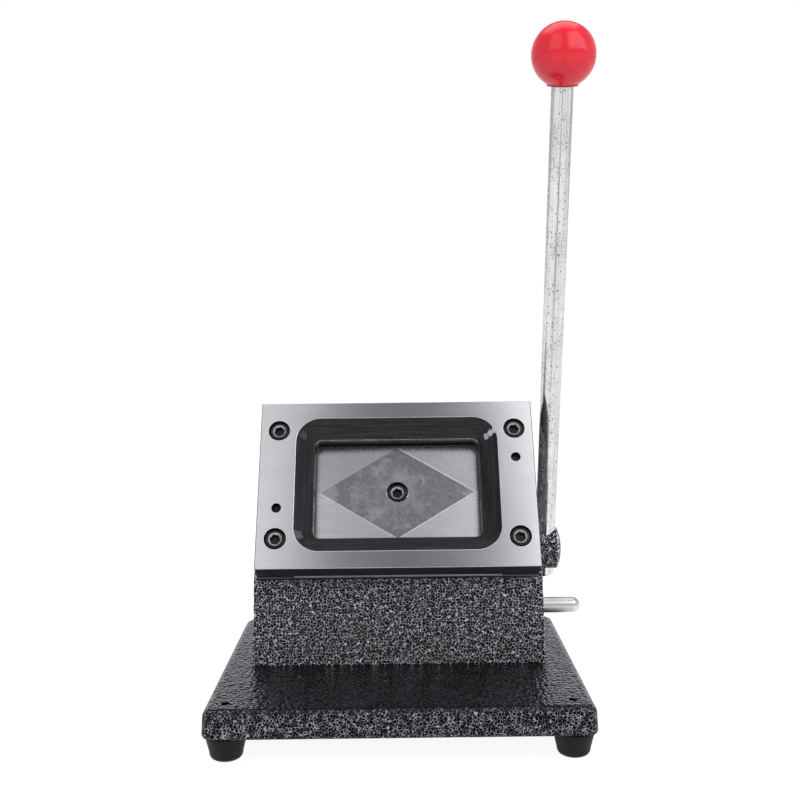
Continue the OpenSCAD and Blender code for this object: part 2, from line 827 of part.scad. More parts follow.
module return_spring_left() {
    return_spring(-1);
}

module return_spring_right() {
    return_spring(1);
}

module drive_shaft() {
    color([0.7, 0.71, 0.72])
    difference() {
        translate([0, shaft_y, shaft_z]) x_cylinder(-shaft_tail_x, shaft_tail_x + shaft_end_x, shaft_d);
        on_lever() translate([0, 0, -shaft_d]) cylinder(h = 2 * shaft_d, d = rod_d + 2 * seat_gap);
        translate([0, shaft_y, shaft_z]) ring_groove_cut();
        translate([0, shaft_y, shaft_z]) x_cylinder(lever_x, shaft_end_x, set_screw_d);
        on_shaft() key_space();
    }
}

// groove for the retaining ring, near the shaft's left end
module ring_groove_cut() {
    difference() {
        x_cylinder(-ring_x - ring_t - end_play, ring_t + end_play, shaft_d + 2 * over);
        x_cylinder(-ring_x - ring_t - over, ring_t + 2 * over, shaft_d - 2 * ring_groove);
    }
}

// room for the key, half in the shaft and half in the cam, on the side away from the strip
module key_space() {
    key_room = key_s + 2 * key_gap;
    translate([0, 0, -shaft_d / 2]) cube([cam_w + over, key_room, key_room], center = true);
}

module cam() {
    color([0.45, 0.46, 0.48])
    on_shaft() difference() {
        across(cam_w) polygon(cam_outline());
        x_cylinder(-cam_w, 2 * cam_w, shaft_d + 2 * seat_gap);
        key_space();
    }
}

module cam_key() {
    color([0.6, 0.6, 0.6])
    on_shaft() translate([0, 0, -shaft_d / 2]) cube([cam_w, key_s, key_s], center = true);
}

// one bronze bush of the shaft
module shaft_bush(side) {
    color([0.72, 0.55, 0.25])
    mirror([side < 0 ? 1 : 0, 0, 0]) translate([0, shaft_y, shaft_z]) difference() {
        x_cylinder(boss_x - shaft_bush_l, shaft_bush_l, shaft_bush_d);
        x_cylinder(boss_x - shaft_bush_l - over, shaft_bush_l + 2 * over, shaft_d + 2 * run_gap);
    }
}

module shaft_bush_left() {
    shaft_bush(-1);
}

module shaft_bush_right() {
    shaft_bush(1);
}

// one steel washer between the body and what turns
module thrust_washer(side) {
    color([0.75, 0.75, 0.76])
    mirror([side < 0 ? 1 : 0, 0, 0]) translate([0, shaft_y, shaft_z]) difference() {
        x_cylinder(washer_x, washer_t, washer_d);
        x_cylinder(washer_x - over, washer_t + 2 * over, shaft_d + 2 * run_gap);
    }
}

module thrust_washer_left() {
    thrust_washer(-1);
}

module thrust_washer_right() {
    thrust_washer(1);
}

module retaining_ring() {
    color([0.2, 0.2, 0.2])
    translate([0, shaft_y, shaft_z]) difference() {
        x_cylinder(-ring_x - ring_t, ring_t, shaft_d + 2 * ring_lip);
        x_cylinder(-ring_x - ring_t - over, ring_t + 2 * over, shaft_d - 2 * ring_groove + 2 * seat_gap);
        translate([-ring_x - ring_t / 2, 0, -shaft_d / 2])
            cube([2 * ring_t, ring_mouth, shaft_d], center = true);
    }
}

module lever_hub() {
    color([0.2, 0.21, 0.22])
    difference() {
        translate([0, shaft_y, shaft_z]) hub_solid();
        translate([0, shaft_y, shaft_z])
            x_cylinder(hub_x - over, shaft_end_x - hub_x + over + end_play, shaft_d + 2 * seat_gap);
        translate([0, shaft_y, shaft_z]) x_cylinder(hub_x, hub_end_x, set_screw_d);
        on_lever() translate([0, 0, -hub_d]) cylinder(h = 2 * hub_d, d = rod_d + 2 * seat_gap);
    }
}

// hub turned about the shaft, with a domed end
module hub_solid() {
    dome_r = ((hub_d / 2) ^ 2 + dome_h ^ 2) / (2 * dome_h);
    rim = asin(hub_d / 2 / dome_r);
    rotate([0, 90, 0]) rotate_extrude() polygon(concat(
        [[0, hub_x], [hub_d / 2, hub_x]],
        [for (i = [0 : arc_steps])
            let (a = rim * (1 - i / arc_steps))
            [dome_r * sin(a), hub_end_x - dome_r * (1 - cos(a))]]
    ));
}

module hub_set_screw() {
    set_screw_l = hub_end - 2 * set_screw_gap;
    color([0.12, 0.12, 0.12])
    translate([hub_end_x - set_screw_gap, shaft_y, shaft_z]) rotate([0, -90, 0]) difference() {
        cylinder(h = set_screw_l, d = set_screw_d - 2 * thread_gap);
        translate([0, 0, -over])
            cylinder(h = over + set_screw_l * socket_part, d = set_screw_d / 2 / cos(30), $fn = 6);
    }
}

module lever_rod() {
    color([0.8, 0.81, 0.83])
    on_lever() {
        translate([0, 0, rod_tail_top]) cylinder(h = knob_low - rod_tail_top, d = rod_d);
        translate([0, 0, knob_low - over]) cylinder(h = stud_l + over, d = stud_d);
        translate([0, 0, rod_tail_top]) rotate_extrude() polygon(concat(
            [[0, over], [rod_d / 2, over]],
            [for (i = [0 : arc_steps])
                let (a = 90 * i / arc_steps)
                [rod_d / 2 * cos(a), -rod_nose * sin(a)]]
        ));
    }
}

module knob_insert() {
    color([0.75, 0.6, 0.3])
    on_lever() translate([0, 0, knob_low]) difference() {
        cylinder(h = stud_l + over, d = insert_d);
        translate([0, 0, -over]) cylinder(h = stud_l + over + seat_gap, d = stud_d + 2 * seat_gap);
    }
}

module ball_knob() {
    color([0.8, 0.06, 0.08])
    on_lever() difference() {
        union() {
            translate([0, 0, lever_l]) sphere(d = knob_d);
            translate([0, 0, knob_low]) cylinder(h = knob_d / 3, d = collar_d);
        }
        translate([0, 0, knob_low - knob_d / 4])
            cylinder(h = knob_d / 4 + stud_l + over + seat_gap, d = insert_d + 2 * seat_gap);
    }
}

module stop_pin() {
    end_x = side_width(base_top) / 2 + pin_out;
    color([0.8, 0.81, 0.82])
    translate([0, pin_y, pin_z]) {
        x_cylinder(pin_root_x, end_x - pin_d / 2 - pin_root_x, pin_d);
        translate([end_x - pin_d / 2, 0, 0]) sphere(d = pin_d);
    }
}

centred() base_plate();
centred() rubber_feet();
centred() foot_screws();
centred() body_casting();
centred() body_screws();
centred() die_plate();
centred() sheet_spacer_left();
centred() sheet_spacer_right();
centred() sheet_table();
centred() die_screws();
centred() dowel_pins();
centred() punch();
centred() punch_screw();
centred() ram();
centred() guide_pillars();
centred() pillar_bushes();
centred() cam_strip();
centred() strip_screws();
centred() return_spring_left();
centred() return_spring_right();
centred() drive_shaft();
centred() cam();
centred() cam_key();
centred() shaft_bush_left();
centred() shaft_bush_right();
centred() thrust_washer_left();
centred() thrust_washer_right();
centred() retaining_ring();
centred() lever_hub();
centred() hub_set_screw();
centred() lever_rod();
centred() knob_insert();
centred() ball_knob();
centred() stop_pin();
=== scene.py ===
import math

import bmesh
import bpy
from mathutils import Matrix, Vector


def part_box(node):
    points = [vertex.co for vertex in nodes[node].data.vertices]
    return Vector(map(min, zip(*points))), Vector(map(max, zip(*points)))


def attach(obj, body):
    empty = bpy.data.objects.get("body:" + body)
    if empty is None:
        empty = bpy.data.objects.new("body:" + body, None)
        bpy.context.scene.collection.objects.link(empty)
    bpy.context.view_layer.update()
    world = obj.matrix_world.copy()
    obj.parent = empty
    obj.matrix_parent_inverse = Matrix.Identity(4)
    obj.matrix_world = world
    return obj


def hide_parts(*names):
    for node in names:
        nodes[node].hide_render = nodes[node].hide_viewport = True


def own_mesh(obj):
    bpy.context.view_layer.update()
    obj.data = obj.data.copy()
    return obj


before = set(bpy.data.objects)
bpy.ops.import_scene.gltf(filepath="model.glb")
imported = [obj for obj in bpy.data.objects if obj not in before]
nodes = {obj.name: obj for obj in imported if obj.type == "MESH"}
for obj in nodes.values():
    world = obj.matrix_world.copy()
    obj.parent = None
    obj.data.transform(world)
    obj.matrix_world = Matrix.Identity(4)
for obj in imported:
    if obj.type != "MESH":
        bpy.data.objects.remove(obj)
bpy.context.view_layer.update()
scene = bpy.context.scene
scene.view_settings.view_transform = "Standard"
mm = 0.001
touch = 0.05  # a corner this close to a line or face lies on it, in millimetres

# pieces are modelled in millimetres from the middle of the base, then brought to the frame
baseLow, baseHigh = (Vector(corner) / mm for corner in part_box("base_plate"))
midX = (baseLow.x + baseHigh.x) / 2
toFrame = Matrix.Translation((midX, 0, 0))
slope = {"tilt": 59, "middleY": -4.23726, "middleZ": 118.7}
onSlope = toFrame @ Matrix.Translation((0, slope["middleY"], slope["middleZ"]))
onSlope = onSlope @ Matrix.Rotation(math.radians(slope["tilt"]), 4, "X")
knobLow, knobHigh = (Vector(corner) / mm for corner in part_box("ball_knob"))
axle = {"y": 49.584, "z": 72.3617, "leverX": (knobLow.x + knobHigh.x) / 2 - midX, "lean": 15.5}
onLever = toFrame @ Matrix.Translation((axle["leverX"], axle["y"], axle["z"]))
onLever = onLever @ Matrix.Rotation(math.radians(axle["lean"]), 4, "X")
alongX = Matrix.Rotation(math.radians(90), 4, "Y")
print("frame:", len(nodes), "nodes, middle of the base at x", round(midX, 2), "mm")


def addObject(name, data):
    made = bpy.data.objects.new(name, data)
    scene.collection.objects.link(made)
    return made


def meshFrom(bm, name):
    mesh = bpy.data.meshes.new(name)
    bm.to_mesh(mesh)
    bm.free()
    return mesh


# node helpers
def put(tree, kind, sockets=None, **settings):
    made = tree.nodes.new("ShaderNode" + kind)
    for key, value in settings.items():
        setattr(made, key, value)
    for key, value in (sockets or {}).items():
        if isinstance(value, bpy.types.NodeSocket):
            tree.links.new(value, made.inputs[key])
        else:
            made.inputs[key].default_value = value
    return made


def maths(tree, operation, first, second, third=0.0):
    return put(tree, "Math", {0: first, 1: second, 2: third}, operation=operation).outputs[0]


def ease(tree, value, low, high, first=0.0, last=1.0):
    sockets = {"Value": value, "From Min": low, "From Max": high, "To Min": first, "To Max": last}
    return put(tree, "MapRange", sockets, interpolation_type="SMOOTHSTEP").outputs[0]


def colourMix(tree, factor, first, second):
    return put(tree, "Mix", {0: factor, 6: first, 7: second}, data_type="RGBA").outputs[2]


def noiseOf(tree, vector, scale, detail=2.0, roughness=0.5):
    sockets = {"Vector": vector, "Scale": scale, "Detail": detail, "Roughness": roughness}
    return put(tree, "TexNoise", sockets).outputs[0]


def scaled(tree, vector, factors):
    return put(tree, "VectorMath", {0: vector, 1: factors}, operation="MULTIPLY").outputs[0]


# camera, light and floor
shot = {"place": (0.821, -561.269, 201.986), "down": 4.2, "right": 0.114, "roll": -0.653,
        "focal": 1088.733, "picture": 800, "sensor": 36, "nearest": 0.01}


def makeCamera():
    data = bpy.data.cameras.new("photoCamera")
    data.sensor_width = shot["sensor"]
    data.lens = shot["focal"] * shot["sensor"] / shot["picture"]
    data.clip_start = shot["nearest"]
    camera = addObject("photoCamera", data)
    place = toFrame @ Vector(shot["place"])
    turn = Matrix.Rotation(math.radians(-shot["right"]), 4, "Z")
    turn = turn @ Matrix.Rotation(math.radians(90 - shot["down"]), 4, "X")
    turn = turn @ Matrix.Rotation(math.radians(shot["roll"]), 4, "Z")
    camera.matrix_world = Matrix.Translation(place * mm) @ turn
    scene.camera = camera


# what the camera and mirror-like finishes see, and what the camera alone sees
def seenDirectly(tree):
    path = put(tree, "LightPath").outputs
    either = maths(tree, "MAXIMUM", path["Is Glossy Ray"], path["Is Transmission Ray"])
    return maths(tree, "MAXIMUM", path["Is Camera Ray"], either), path["Is Camera Ray"]


paperFloor = {"size": 14.0, "sink": 0.0002, "glow": 0.92, "seen": 0.2, "bounce": 0.75, "mirror": 0.92,
              "standPlace": (0.02, -0.75, 0.0), "standShape": (4.2, 0.6, 1.0), "standEdge": (0.12, 0.42),
              "standShade": 0.12}


def makeFloor():
    bm = bmesh.new()
    bmesh.ops.create_grid(bm, x_segments=2, y_segments=2, size=paperFloor["size"] / 2)
    mesh = meshFrom(bm, "floor")
    floor = addObject("floor", mesh)
    floor.location.z = -paperFloor["sink"]
    paper = bpy.data.materials.new("paleFloor")
    paper.use_nodes = True
    tree = paper.node_tree
    shader = tree.nodes["Principled BSDF"].inputs
    seen, byCamera = seenDirectly(tree)
    less = paperFloor["seen"] - paperFloor["bounce"]
    shade = maths(tree, "MULTIPLY_ADD", seen, less, paperFloor["bounce"])
    tone = put(tree, "CombineColor", {0: shade, 1: shade, 2: shade})
    tree.links.new(tone.outputs[0], shader["Base Color"])
    # a painted shadow of a camera stand on the floor in front, which only the bright metal shows
    spot = put(tree, "TexCoord").outputs["Object"]
    off = put(tree, "VectorMath", {0: spot, 1: paperFloor["standPlace"]}, operation="SUBTRACT").outputs[0]
    narrow = scaled(tree, off, paperFloor["standShape"])
    away = put(tree, "VectorMath", {0: narrow}, operation="LENGTH").outputs["Value"]
    shown = ease(tree, away, *paperFloor["standEdge"], paperFloor["standShade"], paperFloor["mirror"])
    mirror = maths(tree, "MAXIMUM", shown, byCamera)
    glow = maths(tree, "MULTIPLY", maths(tree, "MULTIPLY", seen, paperFloor["glow"]), mirror)
    tree.links.new(glow, shader["Emission Strength"])
    shader["Emission Color"].default_value = (1, 1, 1, 1)
    shader["Roughness"].default_value = 0.9
    shader["Specular IOR Level"].default_value = 0.0
    mesh.materials.append(paper)


# the room is pale to the camera, and darker in front and above where the metal mirrors it
room = {"light": 0.64, "tint": (0.93, 0.915, 1.0), "front": 0.3, "side": 0.62, "back": 1.0, "high": 0.45,
        "frontToSide": (-0.5, -0.1), "sideToBack": (0.8, 0.95), "lowToHigh": (0.36, 0.66)}


def makeRoom():
    world = bpy.data.worlds.new("studioWorld")
    scene.world = world
    world.use_nodes = True
    tree = world.node_tree
    sky = tree.nodes["Background"].inputs
    seen, byCamera = seenDirectly(tree)
    way = put(tree, "SeparateXYZ", {0: put(tree, "TexCoord").outputs["Generated"]}).outputs
    beside = ease(tree, way["Y"], *room["frontToSide"], room["front"], room["side"])
    behind = ease(tree, way["Y"], *room["sideToBack"], 0.0, room["back"] - room["side"])
    level = maths(tree, "ADD", beside, behind)
    above = ease(tree, way["Z"], *room["lowToHigh"], 1.0, room["high"])
    shown = maths(tree, "MAXIMUM", maths(tree, "MULTIPLY", level, above), byCamera)
    bright = put(tree, "Mix", {0: seen, 2: room["light"], 3: shown}).outputs[0]
    tree.links.new(bright, sky["Strength"])
    tint = colourMix(tree, byCamera, (*room["tint"], 1), (1, 1, 1, 1))
    tree.links.new(tint, sky["Color"])


lamps = {
    "leftBox": {"place": (-0.455, -0.658, 1.17), "look": (0, 0, 1.17), "size": (0.7, 1.45), "watts": 3.3},
    "rightBox": {"place": (0.562, -0.57, 1.17), "look": (0, 0, 1.17), "size": (0.96, 1.45), "watts": 7.8},
    "topBox": {"place": (0, 0.35, 1.35), "look": (0, 0, 0.1), "size": (1.2, 0.8), "watts": 3.6},
}


def makeLamps():
    for name, lamp in lamps.items():
        data = bpy.data.lights.new(name, "AREA")
        data.shape = "RECTANGLE"
        data.size, data.size_y = lamp["size"]
        data.energy = lamp["watts"]
        place = Vector(lamp["place"])
        aim = (Vector(lamp["look"]) - place).to_track_quat("-Z", "Y")
        box = addObject(name, data)
        box.matrix_world = Matrix.Translation(place) @ aim.to_matrix().to_4x4()


makeCamera()
makeFloor()
makeRoom()
makeLamps()
print("camera, floor and lamps placed")


# effects shared by several finishes
def newGroup(name, inputs, outputs):
    tree = bpy.data.node_groups.new(name, "ShaderNodeTree")
    tree.interface.new_socket("Vector", in_out="INPUT", socket_type="NodeSocketVector")
    for label, value in inputs.items():
        kind = "NodeSocketVector" if isinstance(value, tuple) else "NodeSocketFloat"
        socket = tree.interface.new_socket(label, in_out="INPUT", socket_type=kind)
        socket.default_value = value
    for label in outputs:
        tree.interface.new_socket(label, in_out="OUTPUT", socket_type="NodeSocketFloat")
    return tree, tree.nodes.new("NodeGroupInput").outputs, tree.nodes.new("NodeGroupOutput").inputs


def useGroup(tree, group, vector, sockets):
    return put(tree, "Group", {"Vector": vector, **sockets}, node_tree=group).outputs


def jittered(tree, vector, scale, amount):
    noise = put(tree, "TexNoise", {"Vector": vector, "Scale": scale, "Detail": 2.0}).outputs["Color"]
    centred = put(tree, "VectorMath", {0: noise, 1: (0.5, 0.5, 0.5)}, operation="SUBTRACT").outputs[0]
    moved = put(tree, "VectorMath", {0: centred, "Scale": amount}, operation="SCALE").outputs[0]
    return put(tree, "VectorMath", {0: vector, 1: moved}, operation="ADD").outputs[0]


# dark cells with a bright net of veins, as hammertone enamel dries
veinLook = {"bendScale": 850.0, "bend": 0.0008, "patchScale": 480.0, "patchEdge": (0.38, 0.62),
            "widths": (0.25, 1.5), "crest": 0.4, "fineCells": 2.3, "fineReach": 0.1, "fineTone": 0.04,
            "wave": 1.6, "swell": 0.34, "ripple": 0.7}


def makeVeins():
    inputs = {"Cells": 690.0, "Vein Width": 0.051, "Ripple": 483.0}
    tree, given, made = newGroup("hammertoneVeins", inputs, ("Vein", "Height"))
    bent = jittered(tree, given["Vector"], veinLook["bendScale"], veinLook["bend"])
    sockets = {"Vector": bent, "Scale": given["Cells"], "Randomness": 0.95}
    edge = put(tree, "TexVoronoi", sockets, feature="DISTANCE_TO_EDGE").outputs["Distance"]
    patchy = noiseOf(tree, given["Vector"], veinLook["patchScale"])
    width = ease(tree, patchy, *veinLook["patchEdge"], *veinLook["widths"])
    thick = maths(tree, "MULTIPLY", given["Vein Width"], width)
    broad = ease(tree, edge, maths(tree, "MULTIPLY", thick, veinLook["crest"]), thick, 1.0, 0.0)
    sockets = {"Vector": bent, "Scale": maths(tree, "MULTIPLY", given["Cells"], veinLook["fineCells"])}
    fineEdge = put(tree, "TexVoronoi", sockets, feature="DISTANCE_TO_EDGE").outputs["Distance"]
    fine = ease(tree, fineEdge, 0.0, veinLook["fineReach"], veinLook["fineTone"], 0.0)
    tree.links.new(maths(tree, "MAXIMUM", broad, fine), made["Vein"])
    wave = noiseOf(tree, bent, given["Ripple"])
    swell = ease(tree, edge, 0.0, veinLook["swell"])
    tree.links.new(maths(tree, "MULTIPLY_ADD", wave, veinLook["wave"], swell), made["Height"])
    return tree


# long thin lines left by grinding, and slow stains
grindLook = {"finer": 3.3, "lineEdge": (0.3, 0.7), "stainEdge": (0.32, 0.7)}


def makeGrind():
    inputs = {"Stretch": (25.0, 2600.0, 2600.0), "Stain Scale": 22.0}
    tree, given, made = newGroup("grindLines", inputs, ("Line", "Fine", "Stain"))
    long = scaled(tree, given["Vector"], given["Stretch"])
    line = noiseOf(tree, long, 1.0, detail=3.0, roughness=0.65)
    finer = put(tree, "VectorMath", {0: long, "Scale": grindLook["finer"]}, operation="SCALE").outputs[0]
    fine = noiseOf(tree, finer, 1.0)
    stain = noiseOf(tree, given["Vector"], given["Stain Scale"], detail=5.0, roughness=0.6)
    tree.links.new(ease(tree, line, *grindLook["lineEdge"]), made["Line"])
    tree.links.new(ease(tree, fine, *grindLook["lineEdge"]), made["Fine"])
    tree.links.new(ease(tree, stain, *grindLook["stainEdge"]), made["Stain"])
    return tree


# scattered small pits and specks
pitLook = {"bendScale": 2200.0, "bend": 0.0005, "grainScale": 3200.0}


def makePits():
    inputs = {"Pit Scale": 900.0, "Pit Size": 0.22, "Share": 0.35}
    tree, given, made = newGroup("pits", inputs, ("Pit", "Grain"))
    bent = jittered(tree, given["Vector"], pitLook["bendScale"], pitLook["bend"])
    cell = put(tree, "TexVoronoi", {"Vector": bent, "Scale": given["Pit Scale"]}, feature="F1").outputs
    chance = put(tree, "SeparateColor", {0: cell["Color"]}).outputs[0]
    chosen = maths(tree, "LESS_THAN", chance, given["Share"])
    dip = ease(tree, cell["Distance"], 0.0, given["Pit Size"], 1.0, 0.0)
    tree.links.new(maths(tree, "MULTIPLY", dip, chosen), made["Pit"])
    tree.links.new(noiseOf(tree, given["Vector"], pitLook["grainScale"]), made["Grain"])
    return tree


# a worn place with a ragged edge round a point
rubLook = {"edge": (0.75, 1.0)}


def makeRub():
    inputs = {"Place": (0.0, 0.0, 0.0), "Reach": 0.01, "Ragged": 0.8, "Rag Scale": 420.0}
    tree, given, made = newGroup("rubbedPlace", inputs, ("Rub",))
    apart = {0: given["Vector"], 1: given["Place"]}
    away = put(tree, "VectorMath", apart, operation="DISTANCE").outputs["Value"]
    near = maths(tree, "DIVIDE", away, given["Reach"])
    noise = noiseOf(tree, given["Vector"], given["Rag Scale"], detail=4.0)
    torn = maths(tree, "MULTIPLY", maths(tree, "SUBTRACT", noise, 0.5), given["Ragged"])
    tree.links.new(ease(tree, maths(tree, "ADD", near, torn), *rubLook["edge"], 1.0, 0.0), made["Rub"])
    return tree


veins, grind, pits, rub = makeVeins(), makeGrind(), makePits(), makeRub()


# finishes: an underscore stands for the space in a socket's name
def newFinish(name, **sockets):
    finish = bpy.data.materials.new(name)
    finish.use_nodes = True
    tree = finish.node_tree
    shader = tree.nodes["Principled BSDF"]
    for key, value in sockets.items():
        shader.inputs[key.replace("_", " ")].default_value = value
    spot = put(tree, "TexCoord").outputs["Object"]
    return finish, tree, shader.inputs, spot


# the spot seen from the slope or the lever, so that a pattern follows the piece
def spotOn(tree, spot, place, turn):
    back = place.inverted()
    sockets = {0: spot, "Location": back.translation * mm, "Rotation": (-math.radians(turn), 0, 0)}
    return put(tree, "Mapping", sockets).outputs[0]


def bumped(tree, shader, height, strength, distance):
    bump = put(tree, "Bump", {"Height": height, "Strength": strength, "Distance": distance})
    tree.links.new(bump.outputs[0], shader["Normal"])


def makeHammertone(name, vein, dark, width=0.051, tall=0.00025, gloss=0.03, rough=(0.2, 0.34),
                   metal=0.05, cells=690.0):
    tint = (0.88, 0.86, 1, 1)
    finish, tree, shader, spot = newFinish(name, Specular_IOR_Level=gloss, Specular_Tint=tint)
    sockets = {"Vein Width": width, "Cells": cells, "Ripple": cells * veinLook["ripple"]}
    look = useGroup(tree, veins, spot, sockets)
    tree.links.new(colourMix(tree, look["Vein"], (*dark, 1), (*vein, 1)), shader["Base Color"])
    tree.links.new(maths(tree, "MULTIPLY", look["Vein"], metal), shader["Metallic"])
    tree.links.new(ease(tree, look["Vein"], 0.0, 1.0, *rough), shader["Roughness"])
    bumped(tree, shader, look["Height"], 1.0, tall)
    return finish


groundLook = {"line": 0.6, "fine": 0.4, "stain": (0.12, 0.12, 0.13, 1), "depth": 0.00005}


def makeGround(name, dark, light, stretch, rough=(0.24, 0.4), stain=0.25, deep=0.25):
    finish, tree, shader, spot = newFinish(name, Metallic=1.0)
    where = spotOn(tree, spot, onSlope, slope["tilt"])
    look = useGroup(tree, grind, where, {"Stretch": stretch})
    fine = maths(tree, "MULTIPLY", look["Fine"], groundLook["fine"])
    line = maths(tree, "MULTIPLY_ADD", look["Line"], groundLook["line"], fine)
    ground = colourMix(tree, line, (*dark, 1), (*light, 1))
    shadow = maths(tree, "MULTIPLY", look["Stain"], stain)
    tree.links.new(colourMix(tree, shadow, ground, groundLook["stain"]), shader["Base Color"])
    tree.links.new(ease(tree, line, 0.0, 1.0, rough[1], rough[0]), shader["Roughness"])
    bumped(tree, shader, line, deep, groundLook["depth"])
    return finish


# window of the die plate: each worn place has a point on the slope, a reach and a strength
windowLook = {"dark": (0.004, 0.0037, 0.0045, 1), "light": (0.03, 0.028, 0.032, 1), "stainScale": 60.0,
              "specks": {"Pit Scale": 1100.0, "Pit Size": 0.3, "Share": 0.1}, "speckShare": 0.2,
              "ragged": 1.5, "ragScale": 620.0, "worn": (0.62, 0.61, 0.63, 1), "metal": (0.15, 0.5),
              "rough": (0.34, 0.55), "bump": 0.3, "depth": 0.00008,
              "wear": (((0.0521, 0.0293, -0.0005), 0.0022, 1.0), ((0.0499, 0.0283, -0.0023), 0.0021, 1.0),
                       ((0.0475, 0.0272, -0.0042), 0.0018, 0.8), ((-0.0507, -0.0277, -0.0018), 0.003, 0.15),
                       ((-0.0494, 0.0283, -0.0026), 0.0026, 0.06))}


def makeBlackened(name, stretch):
    finish, tree, shader, spot = newFinish(name, Specular_IOR_Level=0.35)
    where = spotOn(tree, spot, onSlope, slope["tilt"])
    look = useGroup(tree, grind, where, {"Stretch": stretch, "Stain Scale": windowLook["stainScale"]})
    dull = colourMix(tree, look["Line"], windowLook["dark"], windowLook["light"])
    speck = useGroup(tree, pits, where, windowLook["specks"])["Pit"]
    worn = maths(tree, "MULTIPLY", speck, windowLook["speckShare"])
    for place, reach, share in windowLook["wear"]:
        sockets = {"Place": place, "Reach": reach, "Ragged": windowLook["ragged"],
                   "Rag Scale": windowLook["ragScale"]}
        one = useGroup(tree, rub, where, sockets)["Rub"]
        worn = maths(tree, "MAXIMUM", worn, maths(tree, "MULTIPLY", one, share))
    tree.links.new(colourMix(tree, worn, dull, windowLook["worn"]), shader["Base Color"])
    tree.links.new(ease(tree, worn, 0.0, 1.0, *windowLook["metal"]), shader["Metallic"])
    tree.links.new(ease(tree, look["Fine"], 0.0, 1.0, *windowLook["rough"]), shader["Roughness"])
    bumped(tree, shader, look["Line"], windowLook["bump"], windowLook["depth"])
    return finish


# diamond of the punch: pale clouds in the middle and rubbed tips
smearLook = {"dark": (0.2, 0.193, 0.213, 1), "light": (0.26, 0.252, 0.275, 1), "pale": (0.46, 0.45, 0.47, 1),
             "lines": {"Stretch": (420.0, 420.0, 420.0), "Stain Scale": 170.0},
             "blots": {"Pit Scale": 520.0, "Pit Size": 0.6, "Share": 0.6}, "blotShare": 0.22,
             "cloud": {"Place": (-0.006, 0.0, -0.0143), "Reach": 0.021, "Ragged": 1.6, "Rag Scale": 190.0},
             "cloudShare": 0.62, "tips": (((-0.0405, 0.0, -0.0143), 0.0095), ((0.042, 0.0, -0.0143), 0.007)),
             "tipRagged": 1.9, "tipShare": 0.6, "rough": (0.4, 0.55), "bump": 0.15, "depth": 0.00006}


def makeSmudged(name):
    finish, tree, shader, spot = newFinish(name, Metallic=1.0)
    where = spotOn(tree, spot, onSlope, slope["tilt"])
    look = useGroup(tree, grind, where, smearLook["lines"])
    blot = useGroup(tree, pits, where, smearLook["blots"])["Pit"]
    middle = useGroup(tree, rub, where, smearLook["cloud"])["Rub"]
    base = colourMix(tree, look["Line"], smearLook["dark"], smearLook["light"])
    cloudy = maths(tree, "MULTIPLY", look["Stain"], middle)
    pale = maths(tree, "MULTIPLY", cloudy, smearLook["cloudShare"])
    cloud = maths(tree, "MAXIMUM", pale, maths(tree, "MULTIPLY", blot, smearLook["blotShare"]))
    for place, reach in smearLook["tips"]:
        sockets = {"Place": place, "Reach": reach, "Ragged": smearLook["tipRagged"]}
        tip = useGroup(tree, rub, where, sockets)["Rub"]
        cloud = maths(tree, "MAXIMUM", cloud, maths(tree, "MULTIPLY", tip, smearLook["tipShare"]))
    tree.links.new(colourMix(tree, cloud, base, smearLook["pale"]), shader["Base Color"])
    tree.links.new(ease(tree, cloud, 0.0, 1.0, *smearLook["rough"]), shader["Roughness"])
    bumped(tree, shader, cloud, smearLook["bump"], smearLook["depth"])
    return finish


turnedLook = {"cloudScale": 90.0, "cloudShare": 0.45, "cloudEdge": (0.35, 0.7), "pitRough": 0.25,
              "grain": 0.3, "bump": 0.2, "depth": 0.00012}


def makeTurned(name, light, dark, rough, pitShare=0.2, pitScale=900.0, metal=1.0):
    finish, tree, shader, spot = newFinish(name, Metallic=metal)
    look = useGroup(tree, pits, spot, {"Pit Scale": pitScale, "Share": pitShare})
    cloud = noiseOf(tree, spot, turnedLook["cloudScale"], detail=4.0)
    dusk = maths(tree, "MULTIPLY", cloud, turnedLook["cloudShare"])
    base = colourMix(tree, dusk, (*light, 1), (*dark, 1))
    tree.links.new(colourMix(tree, look["Pit"], base, (*dark, 1)), shader["Base Color"])
    plain = ease(tree, cloud, *turnedLook["cloudEdge"], *rough)
    worn = maths(tree, "MULTIPLY_ADD", look["Pit"], turnedLook["pitRough"], plain)
    tree.links.new(worn, shader["Roughness"])
    grain = maths(tree, "MULTIPLY", look["Grain"], turnedLook["grain"])
    height = maths(tree, "SUBTRACT", grain, look["Pit"])
    bumped(tree, shader, height, turnedLook["bump"], turnedLook["depth"])
    return finish


# plating of the rod: streaks along it, dark pits, and small pits in patches
platedLook = {"streaks": {"Stretch": (700.0, 700.0, 16.0), "Stain Scale": 70.0},
              "pits": {"Pit Scale": 520.0, "Pit Size": 0.36, "Share": 0.5},
              "smallPits": {"Pit Scale": 1250.0, "Pit Size": 0.5, "Share": 0.75},
              "patchEdge": (0.15, 0.75), "patch": (0.2, 1.0), "mottleEdge": (0.35, 0.65), "mottleShare": 0.3,
              "dull": (0.7, 0.7, 0.7, 1), "bright": (0.95, 0.95, 0.945, 1), "mottle": (0.45, 0.45, 0.445, 1),
              "stain": (0.42, 0.41, 0.4, 1), "stainShare": 0.2, "pit": (0.05, 0.048, 0.045, 1),
              "rough": (0.12, 0.2), "pitRough": 0.35, "streakHigh": 0.2, "bump": 0.35, "depth": 0.00015}


